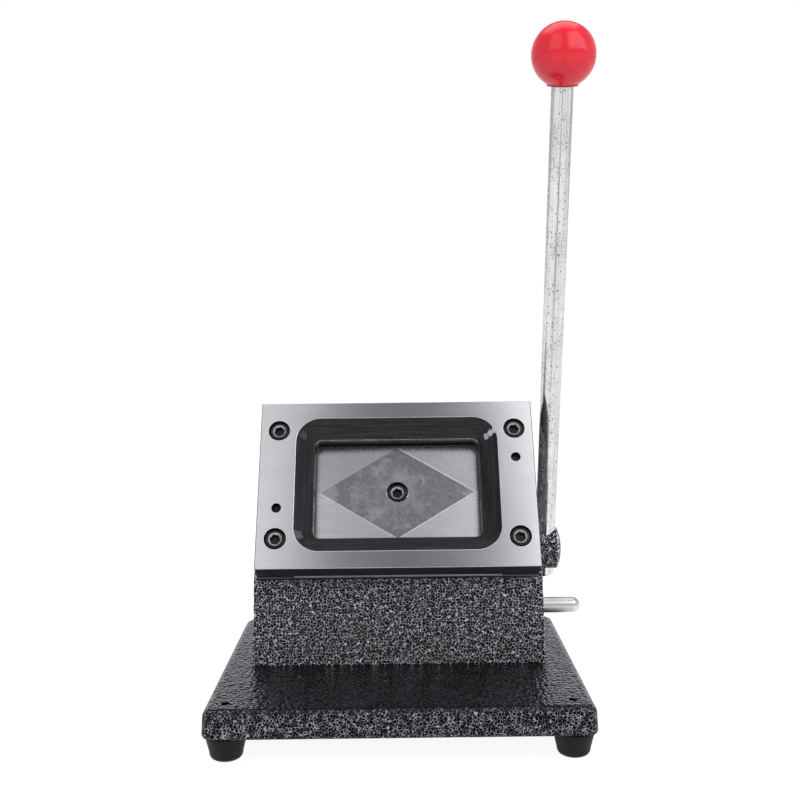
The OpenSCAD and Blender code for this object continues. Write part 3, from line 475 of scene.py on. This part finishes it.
def makePlated(name):
    finish, tree, shader, spot = newFinish(name, Metallic=1.0)
    where = spotOn(tree, spot, onLever, axle["lean"])
    streak = useGroup(tree, grind, where, platedLook["streaks"])
    large = useGroup(tree, pits, where, platedLook["pits"])
    small = useGroup(tree, pits, where, platedLook["smallPits"])
    patch = ease(tree, streak["Stain"], *platedLook["patchEdge"], *platedLook["patch"])
    speck = maths(tree, "MAXIMUM", large["Pit"], maths(tree, "MULTIPLY", small["Pit"], patch))
    clean = colourMix(tree, streak["Line"], platedLook["dull"], platedLook["bright"])
    mottle = ease(tree, small["Grain"], *platedLook["mottleEdge"])
    mottle = maths(tree, "MULTIPLY", mottle, platedLook["mottleShare"])
    base = colourMix(tree, mottle, clean, platedLook["mottle"])
    stain = maths(tree, "MULTIPLY", streak["Stain"], platedLook["stainShare"])
    dusky = colourMix(tree, stain, base, platedLook["stain"])
    tree.links.new(colourMix(tree, speck, dusky, platedLook["pit"]), shader["Base Color"])
    plain = ease(tree, streak["Stain"], 0.0, 1.0, *platedLook["rough"])
    tree.links.new(maths(tree, "MULTIPLY_ADD", speck, platedLook["pitRough"], plain), shader["Roughness"])
    streakHeight = maths(tree, "MULTIPLY", streak["Line"], platedLook["streakHigh"])
    height = maths(tree, "SUBTRACT", streakHeight, speck)
    bumped(tree, shader, height, platedLook["bump"], platedLook["depth"])
    return finish


mouldedLook = {"cloudScale": 140.0, "cloudEdge": (0.3, 0.7), "pitSize": 0.3, "pitShare": 0.15,
               "pitDark": 0.4, "grain": 0.15, "depth": 0.0002}


def makeMoulded(name, colour, deep, rough, grainScale, gloss=0.5, wave=0.1):
    finish, tree, shader, spot = newFinish(name, Specular_IOR_Level=gloss)
    cloud = noiseOf(tree, spot, mouldedLook["cloudScale"], detail=4.0)
    sockets = {"Pit Scale": grainScale, "Pit Size": mouldedLook["pitSize"], "Share": mouldedLook["pitShare"]}
    look = useGroup(tree, pits, spot, sockets)
    tone = colourMix(tree, ease(tree, cloud, *mouldedLook["cloudEdge"]), (*colour, 1), (*deep, 1))
    dark = maths(tree, "MULTIPLY", look["Pit"], mouldedLook["pitDark"])
    tree.links.new(colourMix(tree, dark, tone, (*deep, 1)), shader["Base Color"])
    tree.links.new(ease(tree, cloud, *mouldedLook["cloudEdge"], *rough), shader["Roughness"])
    height = maths(tree, "MULTIPLY_ADD", look["Grain"], mouldedLook["grain"], cloud)
    bumped(tree, shader, height, wave, mouldedLook["depth"])
    return finish


paint = makeHammertone("hammertonePaint", (0.98, 0.97, 1.0), (0.0008, 0.0008, 0.001))
# paler hammertone for rounded edges: worn paint and a painted highlight
paintEdgeWornAndLit = makeHammertone("hammertoneEdgeWornAndLit", (0.95, 0.94, 0.97), (0.006, 0.006, 0.007), width=0.18)
paintBase = makeHammertone("hammertoneBase", (0.47, 0.465, 0.485), (0.001, 0.001, 0.0013))
# hammertone with dim and nearly black veins for the base's rounding and top: painted shade and painted dark
# reflection
paintFadeShade = makeHammertone("hammertoneFadeShade", (0.24, 0.238, 0.25), (0.001, 0.001, 0.0013), gloss=0.2)
paintTopShade = makeHammertone("hammertoneTopShade", (0.05, 0.05, 0.058), (0.0005, 0.0005, 0.0008), width=0.06,
                          tall=0.002, gloss=0.16, rough=(0.06, 0.12), metal=0.3, cells=330.0)
groundFace = makeGround("groundFace", (0.6, 0.595, 0.615), (0.64, 0.635, 0.655), (5.0, 2600.0, 2600.0),
                        rough=(0.18, 0.215), stain=0.08, deep=0.025)
# paler ground steel for rounded edges and rims: painted highlight
groundEdgeHighlight = makeGround("groundEdgeHighlight", (0.62, 0.62, 0.63), (0.8, 0.8, 0.81), (300.0, 300.0, 300.0),
                        stain=0.05)
# near-black ground steel for sides and faces in the slot: painted shade
groundSideShade = makeGround("groundSideShade", (0.045, 0.045, 0.048), (0.08, 0.08, 0.083), (14.0, 1500.0, 1500.0))
# pale, rougher ground steel for the sheet table's front chamfer: painted highlight
tableEdgeHighlight = makeGround("tableEdgeHighlight", (0.62, 0.62, 0.63), (0.8, 0.8, 0.81), (300.0, 300.0, 300.0),
                        rough=(0.5, 0.66), stain=0.15)
# pale ground steel for the window's inner lip: painted highlight
lipHighlight = makeGround("lipHighlight", (0.14, 0.138, 0.142), (0.4, 0.395, 0.405), (160.0, 160.0, 160.0), stain=0.4)
# near-black ground steel for hole walls and the die plate's underside: painted shade in recesses
recessShade = makeGround("recessShade", (0.015, 0.015, 0.016), (0.035, 0.035, 0.036), (500.0, 500.0, 60.0))
# ground steel of the punch's corners, darker for the upper two and paler for the lower two: painted light
# and shade
punchUpperShade = makeGround("punchUpperShade", (0.48, 0.47, 0.5), (0.54, 0.53, 0.56), (900.0, 500.0, 900.0),
                        rough=(0.26, 0.36), stain=0.15, deep=0.1)
punchLowerLit = makeGround("punchLowerLit", (0.55, 0.54, 0.57), (0.7, 0.69, 0.72), (30.0, 1300.0, 1300.0),
                      rough=(0.26, 0.36), stain=0.12, deep=0.1)
# pale ground steel for a line along the diamond's edges: painted highlight
punchEdgeHighlight = makeGround("punchEdgeHighlight", (0.66, 0.65, 0.68), (0.92, 0.91, 0.93), (700.0, 700.0, 700.0),
                       rough=(0.3, 0.5))
smudged = makeSmudged("smudgedPunch")
blackened = makeBlackened("blackenedWindow", (30.0, 900.0, 900.0))
blackenedSide = makeBlackened("blackenedWindowSide", (900.0, 30.0, 900.0))
blackOxide = makeTurned("blackOxide", (0.018, 0.018, 0.02), (0.006, 0.006, 0.007), (0.26, 0.4), metal=0.6)
# pale oxide for the socket's countersunk mouth: painted glint
oxideRimGlint = makeTurned("oxideRimGlint", (0.55, 0.545, 0.56), (0.05, 0.05, 0.05), (0.4, 0.55), pitShare=0.5,
                      pitScale=500.0, metal=0.35)
plated = makePlated("platedRod")
polished = makeTurned("polishedSteel", (0.72, 0.72, 0.725), (0.4, 0.4, 0.4), (0.18, 0.28), pitShare=0.12)
satin = makeTurned("satinSteel", (0.82, 0.82, 0.82), (0.5, 0.5, 0.5), (0.34, 0.46), pitShare=0.12)
# near-black for the window's walls below the lip: painted shade
windowWallShade = makeTurned("windowWallShade", (0.005, 0.005, 0.006), (0.002, 0.002, 0.002), (0.5, 0.7), metal=0.0)
zinc = makeTurned("zincSteel", (0.6, 0.6, 0.58), (0.32, 0.33, 0.34), (0.25, 0.42))
toolSteel = makeTurned("toolSteel", (0.42, 0.42, 0.42), (0.2, 0.2, 0.2), (0.28, 0.42))
castRam = makeTurned("castRam", (0.22, 0.22, 0.22), (0.09, 0.09, 0.09), (0.42, 0.6), pitShare=0.5)
bronze = makeTurned("bronze", (0.56, 0.39, 0.17), (0.26, 0.17, 0.07), (0.26, 0.4))
redKnob = makeMoulded("redKnob", (0.88, 0.018, 0.038), (0.8, 0.014, 0.032), (0.19, 0.23), 500.0, wave=0.04)
# dark red for the collar's lowest rim: painted shade
collarRimShade = makeMoulded("collarRimShade", (0.3, 0.008, 0.02), (0.2, 0.006, 0.014), (0.3, 0.4), 500.0, gloss=0.3)
rubber = makeMoulded("blackRubber", (0.006, 0.006, 0.007), (0.011, 0.011, 0.012), (0.5, 0.65), 900.0,
                     gloss=0.22, wave=0.25)
print("finishes made:", len(bpy.data.materials))


# modelling helpers
mend = 1e-4  # corners closer than this are one
weld = 0.002  # the same in a CAD solid, which is loose triangles
flatTurn = 0.3  # CAD triangles that turn by less than this are one face, in degrees
past = 1  # a cutter reaches this far out of the face that it opens


def turnedForm(profile, steps, closed=False):
    bm = bmesh.new()
    points = [bm.verts.new((radius, 0, height)) for radius, height in profile]
    pairs = list(zip(points, points[1:])) + ([(points[-1], points[0])] if closed else [])
    edges = [bm.edges.new(pair) for pair in pairs]
    bmesh.ops.spin(bm, geom=points + edges, cent=(0, 0, 0), axis=(0, 0, 1), dvec=(0, 0, 0),
                   angle=math.tau, steps=steps, use_merge=True, use_duplicate=False)
    bmesh.ops.remove_doubles(bm, verts=bm.verts, dist=mend)
    bmesh.ops.recalc_face_normals(bm, faces=bm.faces)
    return bm


def arc(middle, radius, first, last, steps):
    turns = [math.radians(first + (last - first) * i / steps) for i in range(steps + 1)]
    return [(middle[0] + radius * math.cos(a), middle[1] + radius * math.sin(a)) for a in turns]


def cylinder(radius, low, high, segments=32, top=None):
    bm = bmesh.new()
    upper = radius if top is None else top
    bmesh.ops.create_cone(bm, cap_ends=True, segments=segments, radius1=radius, radius2=upper,
                          depth=high - low)
    bmesh.ops.translate(bm, vec=(0, 0, (low + high) / 2), verts=bm.verts)
    return bm


def sharpEdges(bm, test, least=45):
    limit = math.radians(least)
    found = [e for e in bm.edges if len(e.link_faces) == 2 and e.calc_face_angle() > limit]
    return [e for e in found if all(test(v.co) for v in e.verts)]


def rounded(bm, edges, width, segments):
    done = bmesh.ops.bevel(bm, geom=edges, offset=width, offset_type="OFFSET", affect="EDGES",
                           segments=segments, profile=0.5, material=-1, clamp_overlap=True)
    return done["faces"]


def setFinish(faces, slot):
    for face in faces:
        face.material_index = slot


# a CAD solid with whole faces, in the millimetres of its place
def copyOf(name, place):
    bm = bmesh.new()
    bm.from_mesh(nodes[name].data)
    bmesh.ops.scale(bm, vec=(1 / mm,) * 3, verts=bm.verts)
    bmesh.ops.remove_doubles(bm, verts=bm.verts, dist=weld)
    bmesh.ops.dissolve_limit(bm, angle_limit=math.radians(flatTurn), verts=bm.verts, edges=bm.edges)
    bm.transform(place.inverted())
    return bm


def carved(bm, cutter):
    solid, tool = addObject("work", meshFrom(bm, "work")), addObject("work", meshFrom(cutter, "work"))
    cut = solid.modifiers.new("cut", "BOOLEAN")
    cut.operation, cut.solver, cut.object = "DIFFERENCE", "EXACT", tool
    shown = solid.evaluated_get(bpy.context.evaluated_depsgraph_get())
    result = bmesh.new()
    result.from_mesh(shown.to_mesh())
    shown.to_mesh_clear()
    for spent in (solid, tool):
        mesh = spent.data
        bpy.data.objects.remove(spent)
        bpy.data.meshes.remove(mesh)
    bmesh.ops.remove_doubles(result, verts=result.verts, dist=mend)
    return result


def joined(parts):
    whole = bmesh.new()
    for part in parts:
        mesh = meshFrom(part, "work")
        whole.from_mesh(mesh)
        bpy.data.meshes.remove(mesh)
    return whole


def repeated(bm, places):
    copies = [bm.copy() for place in places]
    bm.free()
    for copy, place in zip(copies, places):
        copy.transform(place)
    return joined(copies)


def finishPiece(bm, name, body, finishes, replaced, crease=30, evenShade=True):
    bmesh.ops.scale(bm, vec=(mm,) * 3, verts=bm.verts)
    mesh = meshFrom(bm, name)
    for finish in finishes:
        mesh.materials.append(finish)
    mesh.shade_smooth()
    mesh.set_sharp_from_angle(angle=math.radians(crease))
    piece = addObject(name, mesh)
    if evenShade:
        even = piece.modifiers.new("evenShade", "WEIGHTED_NORMAL")
        even.keep_sharp = True
    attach(piece, body)
    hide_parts(*replaced)
    print("piece", name, len(mesh.polygons), "faces")
    return piece


# base plate: bright veins on its sides, which fade as a face turns up, a painted shade and painted dark
# reflection on the rounding and the top
base = {"corner": 5, "taper": 0.7, "topRound": 3.8, "lowRound": 2.4, "holeRadius": 2, "holeInset": 10.5,
        "postX": 61.25, "postY": (-0.5, 62.5), "boreRadius": 5.6, "boreDeep": 6.6, "shankRadius": 3.3,
        "fade": (0.5, 0.9), "holeMargin": 0.1}


def makeBase():
    wide, deep, tall = baseHigh - baseLow
    bm = bmesh.new()
    bmesh.ops.create_cube(bm, size=1)
    bmesh.ops.scale(bm, vec=(wide, deep, tall), verts=bm.verts)
    bmesh.ops.translate(bm, vec=(0, 0, (baseLow.z + baseHigh.z) / 2), verts=bm.verts)
    upper = [v for v in bm.verts if v.co.z > baseHigh.z - touch]
    narrower = (1 - 2 * base["taper"] / wide, 1 - 2 * base["taper"] / deep, 1)
    bmesh.ops.scale(bm, vec=narrower, verts=upper)
    upright = [e for e in bm.edges if abs(e.verts[0].co.z - e.verts[1].co.z) > tall / 2]
    rounded(bm, upright, base["corner"], segments=8)
    rounded(bm, sharpEdges(bm, lambda co: co.z > baseHigh.z - touch), base["topRound"], segments=6)
    rounded(bm, sharpEdges(bm, lambda co: co.z < baseLow.z + touch), base["lowRound"], segments=4)
    inset = Vector((wide / 2 - base["holeInset"], deep / 2 - base["holeInset"]))
    feet = [Matrix.Translation((x * inset.x, y * inset.y, 0)) for x in (-1, 1) for y in (-1, 1)]
    posts = [Matrix.Translation((x * base["postX"], y, 0)) for x in (-1, 1) for y in base["postY"]]
    holes = repeated(cylinder(base["holeRadius"], baseLow.z - past, baseHigh.z + past), feet)
    bores = repeated(cylinder(base["boreRadius"], baseLow.z - past, baseLow.z + base["boreDeep"]), posts)
    shanks = repeated(cylinder(base["shankRadius"], baseLow.z + past, baseHigh.z + past), posts)
    bm = carved(carved(bm, joined([holes, bores])), shanks)
    finishes = [paintBase, paintFadeShade, paintTopShade, recessShade]
    middles = [place.translation for place in feet + posts]
    for face in bm.faces:
        spot = face.calc_center_median()
        away = min((spot - middle).xy.length for middle in middles)
        # hole and bore walls get near-black steel: painted shade in the recesses
        if away < base["boreRadius"] + base["holeMargin"] and spot.z < baseHigh.z - touch:
            face.material_index = finishes.index(recessShade)
        else:
            # veins dimmer on the rounding and nearly black on the top: painted shade and painted dark
            # reflection
            face.material_index = sum(face.normal.z > step for step in base["fade"])
    bm.transform(toFrame)
    finishPiece(bm, "basePlate", "frame", finishes, ["base_plate"])
    return feet, posts


feetPlaces, postPlaces = makeBase()


# body casting: the CAD form with softened side edges, painted paler as worn paint and as a painted highlight
casting = {"width": 150.5, "draft": 1.7, "foot": 25.5, "edge": 1.5, "leastArea": 300, "sideways": 0.9}


def makeBody():
    bm = copyOf("body_casting", toFrame)
    lean = math.tan(math.radians(casting["draft"]))

    def onSide(co):
        half = casting["width"] / 2 - (co.z - casting["foot"]) * lean
        return abs(abs(co.x) - half) < touch and co.z > casting["foot"] - touch

    def onOutline(edge):
        flat = max(v.co.z for v in edge.verts) < casting["foot"] + touch
        sides = [f for f in edge.link_faces if abs(f.normal.x) > casting["sideways"]]
        return len(sides) == 1 and not flat and sides[0].calc_area() > casting["leastArea"]

    edges = [e for e in sharpEdges(bm, onSide, least=25) if onOutline(e)]
    print("body edges to soften:", len(edges))
    setFinish(rounded(bm, edges, casting["edge"], segments=3), 1)
    bm.transform(toFrame)
    finishPiece(bm, "bodyCasting", "frame", [paint, paintEdgeWornAndLit], ["body_casting"])


makeBody()


# die plate: ground face, blackened window, rounded edges with a painted highlight, and painted shade on its
# sides, holes and window walls
die = {"windowX": 54, "windowY": 38, "lipZ": -8, "land": -7.9, "edge": 0.35, "rim": 0.3, "lip": 0.8,
       "faceDown": 0.2, "sideIn": 0.2, "endIn": 1, "flat": 0.95, "flare": 0.2}


def makeDiePlate():
    bm = copyOf("die_plate", onSlope)
    halfX, halfY = max(v.co.x for v in bm.verts), max(v.co.y for v in bm.verts)

    def toSide(co):
        return min(halfX - abs(co.x), halfY - abs(co.y))

    outline = sharpEdges(bm, lambda co: toSide(co) < touch, least=40)
    # rounded outline and rims, kept for a painted highlight and, at the two ends, painted shade
    worn = set(rounded(bm, outline, die["edge"], segments=2))
    rims = sharpEdges(bm, lambda co: co.z > -touch and toSide(co) > touch, least=25)
    worn |= set(rounded(bm, rims, die["rim"], segments=2))
    lip = sharpEdges(bm, lambda co: abs(co.z - die["lipZ"]) < touch, least=25)
    lips = set(rounded(bm, lip, die["lip"], segments=3))
    finishes = [groundFace, blackened, groundEdgeHighlight, recessShade, groundSideShade, lipHighlight, windowWallShade, blackenedSide]
    for face in bm.faces:
        middle, normal = face.calc_center_median(), face.normal
        inside = abs(middle.x) < die["windowX"] and abs(middle.y) < die["windowY"]
        if face in worn:
            finish = groundSideShade if halfX - abs(middle.x) < die["endIn"] else groundEdgeHighlight
        # the lip round the window's inner edge: painted highlight
        elif face in lips:
            finish = lipHighlight
        elif normal.z > die["flat"] and middle.z > -die["faceDown"]:
            finish = groundFace
        elif inside and middle.z > die["land"] and normal.z > die["flare"]:
            finish = blackenedSide if abs(normal.x) > abs(normal.y) else blackened
        # the window's walls below the lip: painted shade
        elif inside:
            finish = windowWallShade
        # outer sides: painted shade; hole walls and the underside: painted shade
        else:
            finish = groundSideShade if toSide(middle) < die["sideIn"] else recessShade
        face.material_index = finishes.index(finish)
    bm.transform(onSlope)
    finishPiece(bm, "diePlate", "frame", finishes, ["die_plate"])


makeDiePlate()


# sheet table: its upper edge at the front is chamfered and painted bright, a painted highlight; its other
# faces carry painted shade
table = {"top": -14, "edge": 1.0}


def makeTable():
    bm = copyOf("sheet_table", onSlope)
    low = min(v.co.y for v in bm.verts)
    front = sharpEdges(bm, lambda co: abs(co.z - table["top"]) < touch and co.y < low + touch)
    setFinish(rounded(bm, front, table["edge"], segments=2), 1)
    bm.transform(onSlope)
    finishPiece(bm, "sheetTable", "frame", [groundSideShade, tableEdgeHighlight], ["sheet_table"])


makeTable()


# cap screws
screw = {"head": 10, "tall": 6, "hex": 5, "hexDeep": 3, "thread": 5.9, "chamfer": 0.6, "mouth": 3.5,
         "steps": 48, "slant": (0.2, 0.95)}
screwFinishes = [blackOxide, oxideRimGlint]


def capScrew(length):
    head, shank, tall = screw["head"] / 2, screw["thread"] / 2, screw["tall"]
    low = -tall - length
    profile = [(0, low), (shank, low), (shank, -tall), (head, -tall), (head, 0), (0, 0)]
    bm = turnedForm(profile, screw["steps"])
    rounded(bm, sharpEdges(bm, lambda co: co.z > -touch), screw["chamfer"], segments=2)
    corner, flat = screw["hex"] / math.sqrt(3), screw["hex"] / 2
    bm = carved(bm, cylinder(corner, -screw["hexDeep"], past, segments=6))
    # the socket's mouth is countersunk, which leaves six arcs between the hexagon's corners; they are
    # painted pale, a painted glint
    sunk = flat - screw["mouth"]
    bm = carved(bm, cylinder(flat, sunk, past, screw["steps"], top=screw["mouth"] + past))
    least, most = screw["slant"]
    mouth = [f for f in bm.faces if f.calc_center_median().xy.length < screw["mouth"]]
    setFinish([f for f in mouth if least < f.normal.z < most], 1)
    return bm


dieScrew = {"x": 61.93, "y": 30, "sink": 0.6, "length": 25.5, "turns": (20, 47, 8, 33)}
bodyScrew = {"sink": 0.6, "length": 22.4}
punchScrew = {"top": -14.9, "length": 25.4, "turn": 12}


def aboutZ(degrees):
    return Matrix.Rotation(math.radians(degrees), 4, "Z")


def makeScrews():
    corners = [(x * dieScrew["x"], y * dieScrew["y"]) for x in (-1, 1) for y in (-1, 1)]
    places = [Matrix.Translation((x, y, -dieScrew["sink"])) @ aboutZ(turn)
              for (x, y), turn in zip(corners, dieScrew["turns"])]
    bm = repeated(capScrew(dieScrew["length"]), places)
    bm.transform(onSlope)
    finishPiece(bm, "dieScrews", "frame", screwFinishes, ["die_screws"])

    upward = Matrix.Translation((0, 0, baseLow.z + bodyScrew["sink"])) @ Matrix.Rotation(math.pi, 4, "X")
    bm = repeated(capScrew(bodyScrew["length"]), [place @ upward for place in postPlaces])
    bm.transform(toFrame)
    finishPiece(bm, "bodyScrews", "frame", screwFinishes, ["body_screws"])

    bm = capScrew(punchScrew["length"])
    bm.transform(onSlope @ Matrix.Translation((0, 0, punchScrew["top"])) @ aboutZ(punchScrew["turn"]))
    finishPiece(bm, "punchScrew", "punch_ram", screwFinishes, ["punch_screw"])


makeScrews()


# punch: mottled diamond and four ground corners; the lower corners are painted paler than the upper ones, a
# painted light and shade, and a painted highlight runs along the diamond's edges
punch = {"halfX": 43, "halfY": 27, "face": -14.3, "rim": 0.3, "rimReach": 8, "diamond": 0.944, "line": 0.026,
         "crease": 1.2, "flat": 0.9, "groundDeep": 2}


def makePunch():
    bm = copyOf("punch", onSlope)
    finishes = [smudged, punchUpperShade, toolSteel, groundEdgeHighlight, punchLowerLit, punchEdgeHighlight]
    rimSlot = finishes.index(groundEdgeHighlight)

    def onRim(co):
        return abs(co.z - punch["face"]) < touch and co.xy.length < punch["rimReach"]

    def onTop(face):
        lowest = punch["face"] - punch["groundDeep"]
        return face.normal.z > punch["flat"] and face.calc_center_median().z > lowest

    # the rim of the screw hole gets the pale edge steel: painted highlight
    setFinish(rounded(bm, sharpEdges(bm, onRim), punch["rim"], segments=2), rimSlot)
    # a painted highlight along the diamond's edges
    reach = (punch["diamond"] + punch["line"]) * punch["halfX"]
    for x, y in ((1, 1), (-1, 1), (-1, -1), (1, -1)):
        touched = [v for v in bm.verts if any(map(onTop, v.link_faces))]
        touched += [e for e in bm.edges if any(map(onTop, e.link_faces))]
        touched += [face for face in bm.faces if onTop(face)]
        bmesh.ops.bisect_plane(bm, geom=touched, plane_co=(x * reach, 0, 0),
                               plane_no=(x * punch["halfY"], y * punch["halfX"], 0))
    for face in bm.faces:
        middle = face.calc_center_median()
        out = abs(middle.x) / punch["halfX"] + abs(middle.y) / punch["halfY"] - punch["diamond"]
        if not onTop(face):
            face.material_index = finishes.index(toolSteel)
        elif face.material_index != rimSlot and out > 0:
            # lower corners painted paler than the upper ones: painted light and shade; the lower ones also
            # show grind lines
            ground = punchUpperShade if middle.y > 0 else punchLowerLit
            dim = middle.x < 0 < middle.y  # the upper left edge shows no line
            finish = punchEdgeHighlight if out < punch["line"] and not dim else ground
            face.material_index = finishes.index(finish)
    bm.transform(onSlope)
    finishPiece(bm, "punch", "punch_ram", finishes, ["punch"], crease=punch["crease"])


makePunch()


# rubber feet
foot = {"flare": ((9.75, 11.5), (9.65, 10.4), (9.3, 9.0), (8.85, 7.2), (8.4, 5.4), (8.0, 3.8)),
        "low": 7.55, "round": 2.6, "topRound": 0.4, "bore": 2.3, "recess": 4.3, "recessTop": 6,
        "outside": 6, "steps": 48}


def makeFeet():
    tall = foot["flare"][0][1]
    profile = [(foot["bore"], tall), *foot["flare"], (foot["low"], 0), (foot["recess"], 0),
               (foot["recess"], foot["recessTop"]), (foot["bore"], foot["recessTop"])]
    bm = turnedForm(profile, foot["steps"], closed=True)

    def outside(co):
        return co.xy.length > foot["outside"]

    rounded(bm, sharpEdges(bm, lambda co: co.z < touch and outside(co)), foot["round"], segments=4)
    rounded(bm, sharpEdges(bm, lambda co: co.z > tall - touch and outside(co)), foot["topRound"], segments=2)
    bm = repeated(bm, feetPlaces)
    bm.transform(toFrame)
    finishPiece(bm, "rubberFeet", "frame", [rubber], ["rubber_feet"])


makeFeet()


# lever: rod, ball knob and hub
rod = {"radius": 5.5, "low": -14.75, "nose": 2.75, "noseSteps": 6, "top": 252.3, "stud": 4, "studTall": 16,
       "chamfer": 0.4, "steps": 48}


def makeRod():
    turns = [math.radians(90 - 90 * i / rod["noseSteps"]) for i in range(rod["noseSteps"] + 1)]
    nose = [(rod["radius"] * math.cos(a), rod["low"] - rod["nose"] * math.sin(a)) for a in turns]
    nose[0] = (0, nose[0][1])
    end = rod["top"] + rod["studTall"]
    stud = [(rod["radius"], rod["top"]), (rod["stud"], rod["top"]), (rod["stud"], end), (0, end)]
    bm = turnedForm(nose + stud, rod["steps"])

    def onShoulder(co):
        return abs(co.z - rod["top"]) < touch and co.xy.length > rod["radius"] - touch

    rounded(bm, sharpEdges(bm, onShoulder), rod["chamfer"], segments=2)
    bm.transform(onLever)
    finishPiece(bm, "leverRod", "lever", [plated], ["lever_rod"])


makeRod()

knob = {"middle": 267, "radius": 15.8, "collar": 7.8, "low": 252.3, "bore": 6.02, "boreTop": 268.4,
        "lineHigh": 0.22, "lineDeep": 0.14, "rimHigh": 0.5, "chamfer": 0.4, "throat": (0.1, 0.3, 0.7),
        "throatTurn": 1.5, "lowSteps": 22, "highSteps": 26, "steps": 72, "crease": 50}


def makeKnob():
    middle, radius = (0, knob["middle"]), knob["radius"]
    collar, low, chamfer = knob["collar"], knob["low"], knob["chamfer"]
    start = -math.degrees(math.acos(collar / radius))
    gap = math.degrees(knob["lineHigh"] / radius)
    lower = arc(middle, radius, start + knob["throatTurn"], -gap, knob["lowSteps"])
    upper = arc(middle, radius, gap, 90, knob["highSteps"])
    upper[-1] = (0, knob["middle"] + radius)
    groove = [(radius - knob["lineDeep"], knob["middle"])]
    lift = lower[0][1]
    out, near, far = knob["throat"]  # the collar runs into the ball in a small hollow
    bore = [(0, knob["boreTop"]), (knob["bore"], knob["boreTop"]), (knob["bore"], low)]
    neck = [(collar - chamfer, low), (collar, low + chamfer),
            (collar, lift - far), (collar + out, lift - near)]
    bm = turnedForm(bore + neck + lower + groove + upper, knob["steps"])
    # the collar's lowest rim is painted darker red: painted shade
    setFinish([f for f in bm.faces if f.calc_center_median().z < low + knob["rimHigh"]], 1)
    bm.transform(onLever)
    finishes = [redKnob, collarRimShade]
    finishPiece(bm, "ballKnob", "lever", finishes, ["ball_knob"], crease=knob["crease"])


makeKnob()

hub = {"edge": 0.9, "radius": 11.75, "level": 0.01}


def makeHub():
    onAxle = toFrame @ Matrix.Translation((0, axle["y"], axle["z"]))
    bm = copyOf("lever_hub", onAxle)
    edges = sharpEdges(bm, lambda co: abs(co.yz.length - hub["radius"]) < touch, least=35)
    edges = [e for e in edges if abs(e.verts[0].co.x - e.verts[1].co.x) < hub["level"]]
    # the hub's rounded rims get the paler paint: worn paint and a painted highlight
    setFinish(rounded(bm, edges, hub["edge"], segments=3), 1)
    bm.transform(onAxle)
    finishPiece(bm, "leverHub", "lever", [paint, paintEdgeWornAndLit], ["lever_hub"])


makeHub()


# stop pin
pin = {"radius": 4, "y": -4.5, "z": 53.476, "root": 67.42, "tip": 94.1, "tipSteps": 10, "steps": 40}


def makePin():
    tip = arc((0, pin["tip"] - pin["radius"]), pin["radius"], 0, 90, pin["tipSteps"])
    tip[-1] = (0, pin["tip"])
    bm = turnedForm([(0, pin["root"]), (pin["radius"], pin["root"])] + tip, pin["steps"])
    bm.transform(toFrame @ Matrix.Translation((0, pin["y"], pin["z"])) @ alongX)
    finishPiece(bm, "stopPin", "frame", [satin], ["stop_pin"])


makePin()


# return springs, built as fixed coils; in the press the ram shortens them as it rises
spring = {"x": 58.75, "radius": 5.5, "wire": 0.7, "low": -44.9, "high": -30.9, "turns": 4, "steps": 28,
          "seat": -30, "keep": 0.48}


def makeSpring(side, name, node):
    bm = bmesh.new()
    ring = bmesh.ops.create_circle(bm, cap_ends=False, radius=spring["wire"], segments=10)["verts"]
    bmesh.ops.rotate(bm, cent=(0, 0, 0), matrix=Matrix.Rotation(math.pi / 2, 3, "X"), verts=ring)
    bmesh.ops.translate(bm, vec=(spring["radius"], 0, spring["low"]), verts=ring)
    steps = spring["turns"] * spring["steps"]
    rise = (spring["high"] - spring["low"]) / steps
    bmesh.ops.spin(bm, geom=bm.verts[:] + bm.edges[:], cent=(0, 0, 0), axis=(0, 0, 1), dvec=(0, 0, rise),
                   angle=math.tau * spring["turns"], steps=steps, use_duplicate=False)
    bmesh.ops.holes_fill(bm, edges=[e for e in bm.edges if e.is_boundary], sides=0)
    bmesh.ops.recalc_face_normals(bm, faces=bm.faces)
    bm.transform(onSlope @ Matrix.Translation((side * spring["x"], 0, 0)))
    piece = finishPiece(bm, name, "frame", [zinc], [node], evenShade=False)
    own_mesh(piece)


makeSpring(-1, "returnSpringLeft", "return_spring_left")
makeSpring(1, "returnSpringRight", "return_spring_right")


# finishes of the nodes that stay as they are
staying = {
    # the sheet spacers get near-black steel: painted shade in the slot
    "foot_screws": zinc, "sheet_spacer_left": groundSideShade, "sheet_spacer_right": groundSideShade,
    # the dowel pins get black oxide though they are bright steel: painted shade deep in their holes
    "dowel_pins": blackOxide, "ram": castRam, "guide_pillars": polished,
    "pillar_bushes": bronze, "cam_strip": toolSteel, "strip_screws": blackOxide, "drive_shaft": polished,
    "cam": toolSteel, "cam_key": polished, "shaft_bush_left": bronze, "shaft_bush_right": bronze,
    "thrust_washer_left": zinc, "thrust_washer_right": zinc, "retaining_ring": blackOxide,
    "hub_set_screw": blackOxide, "knob_insert": bronze,
}
for name, finish in staying.items():
    for holder in nodes[name].material_slots:
        holder.material = finish
print("nodes kept:", len(staying))
